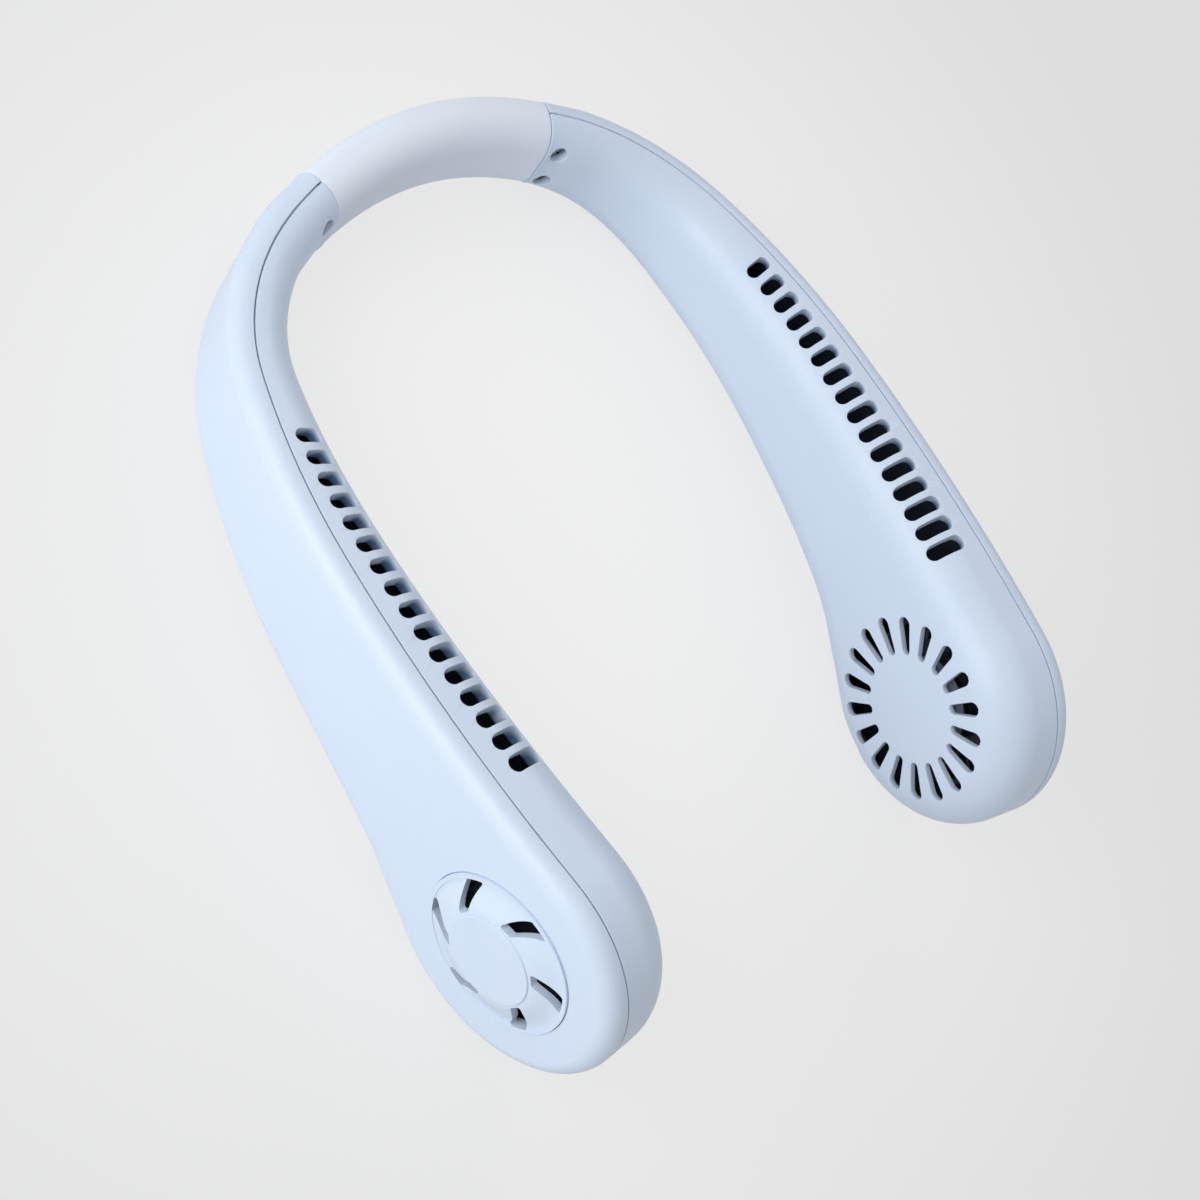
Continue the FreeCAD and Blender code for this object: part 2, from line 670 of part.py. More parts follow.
def motor_screw():
    """Small pan-head screw through the motor base into the seat."""
    shank_low = BASE_TOP_Y - MOTOR_SCREW_LENGTH
    shank = pin(MOTOR_SCREW_RADIUS, shank_low, MOTOR_SCREW_LENGTH, MOTOR_SCREW_CIRCLE)
    return shank.fuse(pin(MOTOR_SCREW_HEAD, BASE_TOP_Y, MOTOR_SCREW_TALL, MOTOR_SCREW_CIRCLE))


S_CELL = S_SHOULDER + CELL_FROM_SHOULDER
S_BOARD = S_SHOULDER + BOARD_FROM_SHOULDER
CELL_FRAME = local_frame(S_CELL, CELL_LIFT)
BOARD_TOP_Y = BOARD_OFFSET + BOARD_THICK
SOCKET_LOW_Z = top_height(S_BOARD) - arm_height(S_BOARD) + SOCKET_SINK
S_BOARD_BACK = S_BOARD - BOARD_LONG / 2
BOARD_FLOOR_Z = top_height(S_BOARD_BACK) - arm_height(S_BOARD_BACK) + WALL
BOARD_MID_Z = BOARD_FLOOR_Z + BOARD_FLOOR_ROOM + BOARD_TALL / 2
BOARD_FRAME = local_frame(S_BOARD)
SWITCH_Z = BOARD_MID_Z + SWITCH_LIFT
SWITCH_TOP_Y = BOARD_TOP_Y + SWITCH_TALL + SWITCH_PLUNGER_TALL


def battery():
    """Flat pouch cell with rounded long edges."""
    block = box(0, CELL_OFFSET - CELL_THICK / 2, 0, CELL_LENGTH, CELL_THICK, CELL_TALL)
    long_edges = [e for e in block.Edges if e.BoundBox.XLength > CELL_LENGTH / 2]
    return set_at(block.makeFillet(CELL_EDGE, long_edges), CELL_FRAME)


def battery_pad(cavity):
    """Foam strip between the cell and the inner face."""
    low = LID_DEPTH - arm_thick(S_CELL)
    deep = CELL_OFFSET - CELL_THICK / 2 - low
    long = CRADLE_APART - CRADLE_THICK - 2 * SNUG
    strip = box(0, low, 0, long, deep, CELL_TALL - 2 * CELL_EDGE)
    return set_at(strip, CELL_FRAME).common(cavity)


def cradle(inner_solid):
    """Two ribs in the tub that hold the cell from below and behind."""
    room = box(0, CELL_OFFSET - CELL_THICK / 2, 0, CELL_LENGTH, FAR, CELL_TALL)
    above = box(0, -FAR, FAR / 2, CELL_LENGTH, 2 * FAR, FAR)
    ribs = []
    for side in (-1, 1):
        slab = box(side * CRADLE_APART / 2, -FAR / 2, 0, CRADLE_THICK, FAR / 2 - LIP_REACH, FAR)
        rib = slab.cut(room).cut(above)
        ribs.append(set_at(rib, CELL_FRAME).common(inner_solid))
    return ribs


def duct_liner(snug, hollow):
    """Dark liner: a channel under the vents that opens into the fan chamber."""
    first = S_SHOULDER + VENT_FROM_SHOULDER - VENT_WIDE_BACK / 2 - DUCT_BACK_ROOM
    back = seam_point(first)[0].y

    def rooms(shrink):
        channel = Part.makeBox(FAR, FAR + back - shrink, FAR, V(0, -FAR, DUCT_FLOOR_Z + shrink))
        chamber = box(FAR / 2 - CHAMBER_BACK + shrink, -FAR, 0, FAR, 2 * FAR, 2 * FAR)
        return channel.fuse(set_at(chamber, FAN))

    liner = snug.common(rooms(0.0)).cut(hollow.common(rooms(DUCT_WALL)))
    cover_mouth = pin(COVER_RADIUS + FLANGE_REACH + COVER_MOUTH_ROOM, 0, FAR)
    tub_mouth = pin(FAN_MOUTH, -FAR, FAR)
    return liner.cut(rail_block(SNUG)).cut(Part.Compound([set_at(cover_mouth, FAN), set_at(tub_mouth, FAN)]))


S_NECK_SCREW = S_JOINT + NECK_SCREW_FROM_END
MID_BAND_Z = top_height(S_NECK_SCREW) - arm_height(S_NECK_SCREW) / 2


def bent_along_neck(face, half_length):
    """Sweep of a face, drawn beside the neck arc's centre, over both halves of that arc."""
    turn = math.degrees(half_length / NECK_RADIUS)
    sector = face.revolve(V(0, 0, 0), V(0, 0, 1), 2 * turn)
    sector.rotate(V(0, 0, 0), V(0, 0, 1), 90 - turn)
    sector.translate(V(0, NECK_BACK - NECK_RADIUS, MID_BAND_Z))
    return sector


def strip_sector(play=0.0):
    """Flat spring strip through the band, or the room for it."""
    radius = NECK_RADIUS + STRIP_OFFSET
    near, far = radius - STRIP_THICK / 2 - play, radius + STRIP_THICK / 2 + play
    half = STRIP_HEIGHT / 2 + play
    corners = [V(near, 0, -half), V(far, 0, -half), V(far, 0, half), V(near, 0, half)]
    face = Part.Face(Part.makePolygon(corners + corners[:1]))
    return bent_along_neck(face, S_JOINT + STRIP_REACH + play)


def cable_sector(half_length, play=0.0):
    """Round cable through the band, or the room for it."""
    middle = V(NECK_RADIUS + CABLE_OFFSET, 0, 0)
    ring = Part.Wire(Part.makeCircle(CABLE_RADIUS + play, middle, V(0, 1, 0)))
    return bent_along_neck(Part.Face(ring), half_length)


def neck_screw_pieces():
    """Cross-head screws, the bosses round them, and their wide and narrow holes."""
    frame = local_frame(S_NECK_SCREW, MID_BAND_Z)
    face = LID_DEPTH - arm_thick(S_NECK_SCREW)
    head_low = face + NECK_SCREW_SINK
    head_top = head_low + NECK_SCREW_HEAD_TALL
    screws, bosses, wide, narrow = [], [], [], []
    for side in (-1, 1):
        z = side * NECK_SCREW_APART / 2
        head = pin(NECK_SCREW_HEAD, head_low, NECK_SCREW_HEAD_TALL, 0, z)
        shank = pin(NECK_SCREW_SHANK, head_top, NECK_SCREW_LENGTH, 0, z)
        screw = head.fuse(shank)
        for across, up in ((CROSS_LONG, CROSS_WIDE), (CROSS_WIDE, CROSS_LONG)):
            screw = screw.cut(box(0, head_low - OVERRUN, z, across, OVERRUN + CROSS_DEEP, up))
        screws.append(set_at(screw, frame))
        boss = pin(NECK_BOSS_RADIUS, face, head_top + NECK_BOSS_FLOOR - face, 0, z)
        bosses.append(set_at(boss, frame))
        wide.append(set_at(pin(NECK_SCREW_HOLE, face - FAR, head_top - face + FAR, 0, z), frame))
        narrow.append(set_at(pin(NECK_SCREW_SHANK, face, FAR / 2, 0, z), frame))
    return screws, bosses, wide, narrow


def neck_sleeve():
    """Soft oval sleeve of the band, with a slot for the strip and a bore for the cable."""
    stations = spread(0.0, S_JOINT - SLEEVE_GAP)
    half = Part.makeLoft([section_wire(s, SLEEVE_INSET) for s in stations], True, False)
    whole = half.fuse(half.mirror(V(0, 0, 0), V(1, 0, 0))).removeSplitter()
    return whole.cut(strip_sector(STRIP_PLAY)).cut(cable_sector(S_NECK, STRIP_PLAY))


def end_plug(snug, cuts):
    """Block in the arm's end that grips the strip and takes the neck screws."""
    start = S_JOINT + END_WALL
    frame = local_frame(start)
    slab = box(PLUG_LENGTH / 2, -FAR, 0, PLUG_LENGTH, 2 * FAR, 2 * FAR)
    near = Part.makeBox(FAR, FAR, 2 * FAR, V(0, 0, -FAR))
    return snug.common(set_at(slab, frame)).common(near).cut(Part.Compound(cuts))


def power_button(under_lid):
    """Round-ended key through the lid, with a flange behind it and a stem over the switch."""
    stem_low = SWITCH_TOP_Y + BUTTON_TRAVEL + BUTTON_CLEAR
    flange_top = LID_DEPTH - WALL
    flange_low = flange_top - BUTTON_PLAY - BUTTON_FLANGE_THICK - SNUG
    key = stadium(BUTTON_LONG, BUTTON_WIDE, flange_low, LID_DEPTH + BUTTON_PROUD - flange_low)
    top = LID_DEPTH + BUTTON_PROUD
    rim = [e for e in key.Edges if e.BoundBox.YMin > top - BUTTON_PROUD / 2]
    key = key.makeFillet(BUTTON_PROUD * BUTTON_ROUND_SHARE, rim)
    wide = BUTTON_WIDE + 2 * BUTTON_FLANGE
    flange = stadium(BUTTON_LONG + 2 * BUTTON_FLANGE, wide, flange_low, flange_top - flange_low)
    stem = pin(BUTTON_STEM, stem_low, flange_low - stem_low + SNUG)
    frame = local_frame(S_BOARD, SWITCH_Z)
    return set_at(flange, frame).common(under_lid).multiFuse([set_at(key, frame), set_at(stem, frame)])


def charging_socket():
    """Oval charging receptacle: thin shell, back wall and tongue, mouth downwards."""
    def oval(shrink, low, tall):
        bar = stadium(SOCKET_WIDE - 2 * shrink, SOCKET_THICK - 2 * shrink, low, tall)
        bar.rotate(V(0, 0, 0), V(1, 0, 0), 90)
        return bar

    shell = oval(0.0, 0, SOCKET_TALL).cut(oval(SOCKET_WALL, -OVERRUN, SOCKET_TALL - SOCKET_WALL + OVERRUN))
    tongue_wide = SOCKET_WIDE - SOCKET_THICK
    tongue = Part.makeBox(tongue_wide, SOCKET_TONGUE, SOCKET_TALL - SOCKET_THICK / 2)
    tongue.translate(V(-tongue_wide / 2, -SOCKET_TONGUE / 2, SOCKET_THICK / 2))
    whole = shell.fuse(tongue)
    whole.translate(V(0, BOARD_TOP_Y + SOCKET_THICK / 2, SOCKET_LOW_Z))
    return set_at(whole, BOARD_FRAME)


def socket_cutter():
    """Oval hole in the tub's underside for the charging plug."""
    wide, thick = SOCKET_WIDE + 2 * SOCKET_PLAY, SOCKET_THICK + 2 * SOCKET_PLAY
    hole = stadium(wide, thick, -FAR / 4, FAR / 4 + SOCKET_TALL)
    hole.rotate(V(0, 0, 0), V(1, 0, 0), 90)
    hole.translate(V(0, BOARD_TOP_Y + SOCKET_THICK / 2, SOCKET_LOW_Z))
    return set_at(hole, BOARD_FRAME)


def rest_tilt():
    """Backward tilt at which the bulbs and the arms' undersides both touch a table."""
    bulb = seam_point(S_BULB)[0].y
    tilts = []
    for s in spread(0.0, S_FRONT):
        outer, inner, top, bottom, lid_r, tub_r = section_limits(s, 0.0)
        outward = heading_vectors(seam_point(s)[1])[1]
        for across, radius in ((outer - lid_r, lid_r), (inner + tub_r, tub_r)):
            y = seam_point(s)[0].y + outward.y * across
            span, rise = y - bulb, bottom + radius
            lift = math.asin((BULB_RADIUS - radius) / math.hypot(span, rise))
            tilts.append(lift + math.atan2(rise, span))
    return math.degrees(min(tilts))


def build_right_arm():
    """All pieces of the right arm in modelling axes, by plain name."""
    body = arm_solid(0.0, S_JOINT)
    cavity = arm_solid(WALL, S_JOINT + END_WALL)
    snug = arm_solid(WALL + SNUG, S_JOINT + END_WALL)
    liner_hollow = arm_solid(WALL + SNUG + DUCT_WALL, S_JOINT + END_WALL)
    lip = arm_solid(LIP_INSET, S_JOINT + LIP_INSET)
    rebate = arm_solid(LIP_INSET - LIP_PLAY, S_JOINT + LIP_INSET)
    screws, bosses, wide_holes, narrow_holes = neck_screw_pieces()
    end_holes = [strip_sector(STRIP_PLAY), cable_sector(S_NECK, STRIP_PLAY)]

    lid = body.common(outside(0.0)).cut(rebate.cut(outside(LIP_REACH + LIP_PLAY))).cut(cavity)
    lid = lid.cut(set_at(pin(COVER_RADIUS + COVER_FIT, 0, FAR), FAN)).cut(end_holes[1])

    tub = body.cut(outside(-SEAM_GAP)).fuse(lip.cut(outside(LIP_REACH))).cut(cavity)
    seat = pin(SEAT_RADIUS, TUB_INNER_Y - WALL / 2, BASE_LOW_Y - TUB_INNER_Y + WALL / 2)
    screw_low = BASE_TOP_Y - MOTOR_SCREW_LENGTH
    seat_holes = around_axis(pin(MOTOR_SCREW_RADIUS, screw_low, FAR, MOTOR_SCREW_CIRCLE), MOTOR_SCREWS)
    seat = seat.cut(Part.Compound(seat_holes))
    inner_bosses = [boss.common(lip) for boss in bosses]
    rail = lip.cut(arm_solid(WALL + RAIL_THICK, S_JOINT + END_WALL)).common(rail_block(0.0))
    tub = tub.multiFuse([set_at(seat, FAN), rail] + cradle(lip) + inner_bosses)
    tub = tub.cut(Part.Compound(vent_cutters())).cut(Part.Compound(grille_cutters()))
    for hole in wide_holes + narrow_holes + end_holes:
        tub = tub.cut(hole)
    plug = end_plug(snug, end_holes + bosses + narrow_holes)

    core = stator_core()
    bearing = tube(BEARING_RADIUS, SHAFT_RADIUS + SHAFT_PLAY, BASE_LOW_Y, BEARING_LENGTH)
    magnet = tube(ROTOR_RADIUS - ROTOR_WALL, MAGNET_INNER, ROTOR_LOW_Y, ROTOR_TALL - ROTOR_FACE)
    shaft_low = BASE_LOW_Y + SHAFT_END_GAP
    shaft = pin(SHAFT_RADIUS, shaft_low, ROTOR_TOP_Y + HUB_WALL - shaft_low)
    pieces = {
        "outer_shell": lid,
        "inner_shell": tub,
        "air_duct": duct_liner(snug, liner_hollow),
        "end_plug": plug,
        "neck_screws": Part.Compound(screws),
        "battery_cell": battery(),
        "battery_pad": battery_pad(cavity),
        "swirl_cover": swirl_cover(cavity),
    }
    turned = {
        "motor_base": motor_base(),
        "motor_screws": Part.Compound(around_axis(motor_screw(), MOTOR_SCREWS)),
        "bearing": bearing,
        "stator_core": core,
        "windings": windings(core),
        "rotor_can": rotor_can(),
        "magnet_ring": magnet,
        "shaft": shaft,
        "impeller": blower_wheel(),
    }
    pieces.update({name: set_at(shape, FAN) for name, shape in turned.items()})
    return pieces, snug


def add_controls(pieces, snug):
    """Board, charging socket, switch, button and light, which only the right arm has."""
    lid, tub = pieces["right_outer_shell"], pieces["right_inner_shell"]
    frame = local_frame(S_BOARD, SWITCH_Z)
    key_hole = stadium(BUTTON_LONG + 2 * BUTTON_PLAY, BUTTON_WIDE + 2 * BUTTON_PLAY, 0, FAR)
    light_hole = pin(LIGHT_RADIUS, 0, FAR, LIGHT_AHEAD)
    pieces["right_outer_shell"] = lid.cut(set_at(key_hole, frame)).cut(set_at(light_hole, frame))

    inner = LID_DEPTH - arm_thick(S_BOARD) + WALL / 2
    under_skin = arm_solid(WALL / 2, S_JOINT)
    posts, screws, holes = [], [], []
    for side in (-1, 1):
        x = side * POST_APART / 2
        post = pin(POST_RADIUS, inner, BOARD_OFFSET - inner, x)
        hole = pin(BOARD_SCREW_RADIUS, BOARD_TOP_Y - BOARD_SCREW_LENGTH, FAR, x)
        head = pin(BOARD_SCREW_HEAD, BOARD_TOP_Y, BOARD_SCREW_TALL, x)
        shank = pin(BOARD_SCREW_RADIUS, BOARD_TOP_Y - BOARD_SCREW_LENGTH, BOARD_SCREW_LENGTH, x)
        posts.append(set_at(post.cut(hole), local_frame(S_BOARD, BOARD_MID_Z)).common(under_skin))
        holes.append(hole)
        screws.append(set_at(head.fuse(shank), local_frame(S_BOARD, BOARD_MID_Z)))
    pieces["right_inner_shell"] = tub.multiFuse(posts).cut(socket_cutter())
    board = box(0, BOARD_OFFSET, 0, BOARD_LONG, BOARD_THICK, BOARD_TALL).cut(Part.Compound(holes))
    pieces["circuit_board"] = set_at(board, local_frame(S_BOARD, BOARD_MID_Z))
    pieces["board_screws"] = Part.Compound(screws)
    pieces["charging_socket"] = charging_socket()
    switch = box(0, BOARD_TOP_Y, 0, SWITCH_SIDE, SWITCH_TALL, SWITCH_SIDE)
    plunger = pin(SWITCH_PLUNGER, BOARD_TOP_Y + SWITCH_TALL, SWITCH_PLUNGER_TALL)
    pieces["push_switch"] = set_at(switch.fuse(plunger), frame)
    pieces["power_button"] = power_button(snug)
    led = box(LIGHT_AHEAD, BOARD_TOP_Y, 0, LED_LONG, LED_TALL, LED_WIDE)
    pieces["status_led"] = set_at(led, frame)
    pipe_low = LID_DEPTH - WALL - LIGHT_FLANGE_THICK
    pipe = pin(LIGHT_RADIUS - LIGHT_PLAY, pipe_low, LID_DEPTH - pipe_low, LIGHT_AHEAD)
    flange = pin(LIGHT_RADIUS + LIGHT_FLANGE, pipe_low, LID_DEPTH - pipe_low, LIGHT_AHEAD)
    pieces["light_pipe"] = set_at(flange, frame).common(snug).fuse(set_at(pipe, frame))


def build_all():
    """Every piece in modelling axes, by node name."""
    arm, snug = build_right_arm()
    pieces = {}
    for name, shape in arm.items():
        pieces["right_" + name] = shape
        pieces["left_" + name] = shape.mirror(V(0, 0, 0), V(1, 0, 0))
    add_controls(pieces, snug)
    pieces["neck_sleeve"] = neck_sleeve()
    pieces["spring_strip"] = strip_sector()
    pieces["band_cable"] = cable_sector(S_JOINT + CABLE_REACH)
    return pieces


def rest_placement(pieces):
    """Tilt and shift that lay the fan on the table with its box centred over the origin."""
    tilt = FreeCAD.Rotation(V(1, 0, 0), -rest_tilt())
    shells = Part.Compound([pieces[n] for n in ("left_outer_shell", "left_inner_shell", "neck_sleeve")])
    shells.Placement = FreeCAD.Placement(V(0, 0, 0), tilt)
    limits = shells.optimalBoundingBox(False, False)
    return FreeCAD.Placement(V(0, -(limits.YMin + limits.YMax) / 2, -limits.ZMin), tilt)


def tell(name, vector):
    print(name, [round(x, 3) for x in vector])


def main():
    pieces = build_all()
    rest = rest_placement(pieces)
    for name, shape in sorted(pieces.items()):
        solids = shape.Solids
        whole = solids[0] if len(solids) == 1 else Part.Compound(solids)
        if not whole.isValid():
            print("not valid:", name)
        placed = whole.copy()
        placed.Placement = rest.multiply(placed.Placement)
        placed.exportStep("parts/" + name + ".step")
        print(name, "solids", len(solids), "volume", round(whole.Volume, 1))
    print("tilt", round(rest_tilt(), 3))
    tell("shift", rest.Base)
    turn = rest.Rotation
    hinge, angle = seam_point(S_JOINT / 2)
    hinge_at = V(hinge.x, hinge.y, MID_BAND_Z) + heading_vectors(angle)[1] * STRIP_OFFSET
    tell("right hinge at", rest.multVec(hinge_at))
    tell("hinge axis", turn.multVec(V(0, 0, 1)))
    tell("right fan centre", rest.multVec(FAN.multVec(V(0, WHEEL_MID_Y, 0))))
    tell("right fan axis", turn.multVec(FAN.Rotation.multVec(V(0, 1, 0))))
    button_frame = local_frame(S_BOARD, SWITCH_Z)
    tell("button at", rest.multVec(button_frame.multVec(V(0, LID_DEPTH, 0))))
    tell("button press axis", turn.multVec(button_frame.Rotation.multVec(V(0, -1, 0))))
    socket = BOARD_FRAME.multVec(V(0, BOARD_TOP_Y + SOCKET_THICK / 2, SOCKET_LOW_Z))
    tell("charging socket at", rest.multVec(socket))
    tell("charging socket axis", turn.multVec(V(0, 0, -1)))
    tell("neck middle inner face", rest.multVec(V(0, NECK_BACK + LID_DEPTH - JOINT_THICK, MID_BAND_Z)))


main()
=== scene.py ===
"""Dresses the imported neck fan: soft band, rounded edges, screws, contacts, finishes and a plain studio."""
import bmesh
import bpy
import json
import math
from mathutils import Matrix, Vector


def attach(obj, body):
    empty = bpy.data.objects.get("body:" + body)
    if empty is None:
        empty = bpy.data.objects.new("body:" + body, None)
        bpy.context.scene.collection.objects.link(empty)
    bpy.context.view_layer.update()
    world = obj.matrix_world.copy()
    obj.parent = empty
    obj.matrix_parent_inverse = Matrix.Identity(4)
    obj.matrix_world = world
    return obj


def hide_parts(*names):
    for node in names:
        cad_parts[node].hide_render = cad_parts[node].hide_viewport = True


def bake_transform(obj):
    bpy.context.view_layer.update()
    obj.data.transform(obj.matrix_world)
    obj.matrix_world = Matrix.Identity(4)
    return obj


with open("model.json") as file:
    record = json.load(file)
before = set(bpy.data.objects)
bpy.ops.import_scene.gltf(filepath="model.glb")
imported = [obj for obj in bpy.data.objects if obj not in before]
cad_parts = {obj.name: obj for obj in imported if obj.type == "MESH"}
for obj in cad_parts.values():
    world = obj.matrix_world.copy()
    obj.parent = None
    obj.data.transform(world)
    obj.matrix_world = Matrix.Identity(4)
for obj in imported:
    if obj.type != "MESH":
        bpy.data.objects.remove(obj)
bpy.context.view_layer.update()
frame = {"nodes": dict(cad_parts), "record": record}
RECORD = frame["record"]
JOINTS = {joint["name"]: joint for joint in RECORD["behaviour"]["joints"]}
MOUNTS = {mount["name"]: mount for mount in RECORD["mounts"]}
SLOT_OF = {part["node"]: part["material_slot"] for part in RECORD["subparts"]}
SIDES = {"right": 1.0, "left": -1.0}
# Attribute with each point's depth down an opening, which sets the painted shade there.
DEPTH = "depth_in_opening"
SHARP = math.radians(38.0)
NOISE_LOW, NOISE_HIGH = 0.3, 0.7
BRUSHED = (1.0, 0.06, 1.0)

# Shares of a neck screw's sizes, and how its cross is turned
RIM_SHARE, UNDER_RIM, UNDER_HEAD = 0.45, 0.2, 0.96
TIP_WIDE, TIP_LONG = 0.8, 0.4
CROSS_OVER, CROSS_TOP, CROSS_FLOOR = 1.6, (1.15, 1.25), (0.7, 0.8)
FIRST_TURN, TURN_STEP = 0.45, 0.8

bl_info = {
    "name": "Neck Fan Dresser",
    "version": (1, 0, 0),
    "blender": (4, 5, 0),
    "location": "View3D > Sidebar > Neck Fan",
    "description": "Gives the packed neck fan its soft band, rounded edges, finishes and studio",
    "category": "Object",
}


def length(name, note, metres):
    """Length property in metres."""
    return bpy.props.FloatProperty(name=name, description=note, default=metres, precision=5, unit="LENGTH")


def angle(name, note, degrees):
    """Angle property, given in degrees."""
    return bpy.props.FloatProperty(name=name, description=note, default=math.radians(degrees),
                                   unit="ROTATION")


def number(name, note, value):
    """Plain number property that isn't negative."""
    return bpy.props.FloatProperty(name=name, description=note, default=value, min=0.0)


def triple(name, note, xyz, unit="NONE"):
    """Place or direction property."""
    return bpy.props.FloatVectorProperty(name=name, description=note, default=xyz, size=3, precision=5,
                                         subtype="XYZ", unit=unit)


def colour(name, note, rgb):
    """Linear colour property."""
    return bpy.props.FloatVectorProperty(name=name, description=note, default=rgb, size=3, subtype="COLOR",
                                         min=0.0, max=1.0)


class NeckFanSizes(bpy.types.PropertyGroup):
    """Sizes of the pieces that are made here, in the same frame as the solids."""
    neck_back: length("Neck back", "Seam line's distance behind the fan's middle", 0.0934)
    neck_radius: length("Neck radius", "Radius of the seam line round the neck", 0.108)
    band_half: length("Half band", "Half the band's length along the seam line", 0.0374)
    band_height: length("Band height", "Height of the band's section", 0.024)
    band_thick: length("Band thickness", "Thickness of the band's section", 0.014)
    lid_depth: length("Outer depth", "Part of the thickness outside the seam line", 0.0056)
    outer_edge: length("Outer edge", "Rounding of the band's outer edges", 0.0046)
    inner_edge: length("Inner edge", "Rounding of the band's inner edges", 0.0081)
    arm_top: length("Arm top", "Height of the arms' top line over the fan axes", 0.0335)
    band_rise: length("Band rise", "How far the top line rises to the neck", 0.0106)
    rise_run: length("Rise run", "Length of the seam line over which the top line rises", 0.094384)
    sleeve_inset: length("Sleeve inset", "How far the sleeve stands back from the arms", 0.00025)
    sleeve_gap: length("Sleeve gap", "Fine gap between the sleeve and each arm", 0.00015)
    sleeve_roll: length("Sleeve roll", "Rounding of the sleeve's ends", 0.0004)
    strip_offset: length("Strip offset", "Spring strip's place inside the seam line", -0.003)
    strip_thick: length("Strip thickness", "Thickness of the spring strip", 0.0008)
    strip_height: length("Strip height", "Height of the spring strip", 0.007)
    strip_reach: length("Strip reach", "How far the strip runs into each arm", 0.0075)
    cable_offset: length("Cable offset", "Cable's place inside the seam line", -0.0002)
    cable_radius: length("Cable radius", "Radius of the cable through the band", 0.0012)
    cable_reach: length("Cable reach", "How far the cable runs into each arm", 0.01)
    core_height: length("Core height", "Height of strip and cable over the fan axes", 0.02781)
    rest_tilt: angle("Rest tilt", "Backward tilt of the fan on the table", 14.627)
    rest_back: length("Rest shift back", "Shift that centres the fan's box", 0.005999)
    rest_up: length("Rest shift up", "Shift that sets the fan on the table", 0.011738)
    still_half: length("Still half", "Half of the band's middle that doesn't bend", 0.002)
    ring_spacing: length("Ring spacing", "Distance between the rings of bending pieces", 0.0016)
    seam_spacing: length("Seam spacing", "Distance of those rings at the band's middle", 0.0004)
    weld: length("Weld", "Distance at which corners are joined", 0.000002)
    edge_round: length("Edge rounding", "Rounding of the shells' edges", 0.0003)
    # Painted shade: depth down an opening's wall at which the painted shade is full.
    painted_shade_deep: length("Shade depth", "Depth at which the walls of openings are dullest", 0.0016)
    grain_tall: length("Grain height", "Height of the finishes' fine grain", 0.0001)
    screw_radius: length("Screw head", "Radius of the neck screws' heads", 0.00195)
    screw_tall: length("Screw head height", "Height of the neck screws' heads", 0.0011)
    screw_shank: length("Screw shank", "Radius of the neck screws' shanks", 0.0008)
    screw_long: length("Screw length", "Length of the neck screws' shanks", 0.004)
    cross_wide: length("Cross width", "Width of the cross recess", 0.00055)
    cross_long: length("Cross length", "Length of the cross recess", 0.0022)
    cross_deep: length("Cross depth", "Depth of the cross recess", 0.0006)
    contact_count: bpy.props.IntProperty(name="Contacts", description="Contacts on each side of the tongue",
                                         default=12, min=2)
    contact_pitch: length("Contact pitch", "Distance between the charging contacts", 0.00044)
    contact_wide: length("Contact width", "Width of a charging contact", 0.00026)
    contact_long: length("Contact length", "Length of a charging contact", 0.0034)
    contact_thick: length("Contact thickness", "How far a contact stands off the tongue", 0.00004)
    tongue_thick: length("Tongue thickness", "Thickness of the charging socket's tongue", 0.0007)
    tongue_in: length("Tongue depth", "How far inside the socket's mouth the contacts are centred", 0.0042)


class NeckFanColours(bpy.types.PropertyGroup):
    """Colours of the finishes, linear."""
    shell: colour("Shell", "Pale blue moulded shells", (0.650, 0.738, 0.876))
    shell_shade: colour("Shell shade", "Slight drift of the shells' colour", (0.628, 0.717, 0.860))
    # Painted shade: this darker colour is mixed down the walls of the shells' openings, where shade falls.
    shell_painted_shade: colour("Shell inside", "Duller walls of the shells' openings", (0.150, 0.230, 0.370))
    sleeve: colour("Sleeve", "Soft band", (0.800, 0.852, 0.955))
    sleeve_shade: colour("Sleeve shade", "Slight drift of the band's colour", (0.774, 0.828, 0.934))
    dark: colour("Duct", "Dark moulding behind the openings", (0.030, 0.042, 0.064))
    wheel: colour("Blower wheel", "Dark blower wheel", (0.040, 0.052, 0.074))
    screw: colour("Screw", "Dark plated screws", (0.190, 0.215, 0.255))
    steel: colour("Steel", "Bare steel", (0.55, 0.56, 0.58))
    copper: colour("Copper", "Enamelled wire", (0.62, 0.25, 0.10))
    bronze: colour("Bronze", "Bearing and contacts", (0.62, 0.44, 0.18))
    board: colour("Board", "Circuit board", (0.020, 0.130, 0.060))
    magnet: colour("Magnet", "Dark ferrite", (0.06, 0.06, 0.065))
    magnet_shade: colour("Magnet shade", "Drift of the ferrite's colour", (0.045, 0.045, 0.05))
    foil: colour("Foil", "Cell's foil pouch", (0.50, 0.52, 0.56))
    foil_shade: colour("Foil shade", "Drift of the foil's colour", (0.42, 0.44, 0.48))
    clear: colour("Clear", "Light and its pipe", (0.80, 0.86, 0.92))
    clear_shade: colour("Clear shade", "Drift of the light pipe's colour", (0.76, 0.83, 0.90))
    floor: colour("Floor", "Plain pale floor", (0.80, 0.80, 0.80))
    sky_light: colour("Sky light", "Tint of the even light", (0.97, 0.985, 1.0))
    key_light: colour("Key light", "Tint of the lamp on the left", (0.96, 0.985, 1.0))
    rim_light: colour("Rim light", "Tint of the lamp behind on the right", (1.0, 0.98, 0.96))


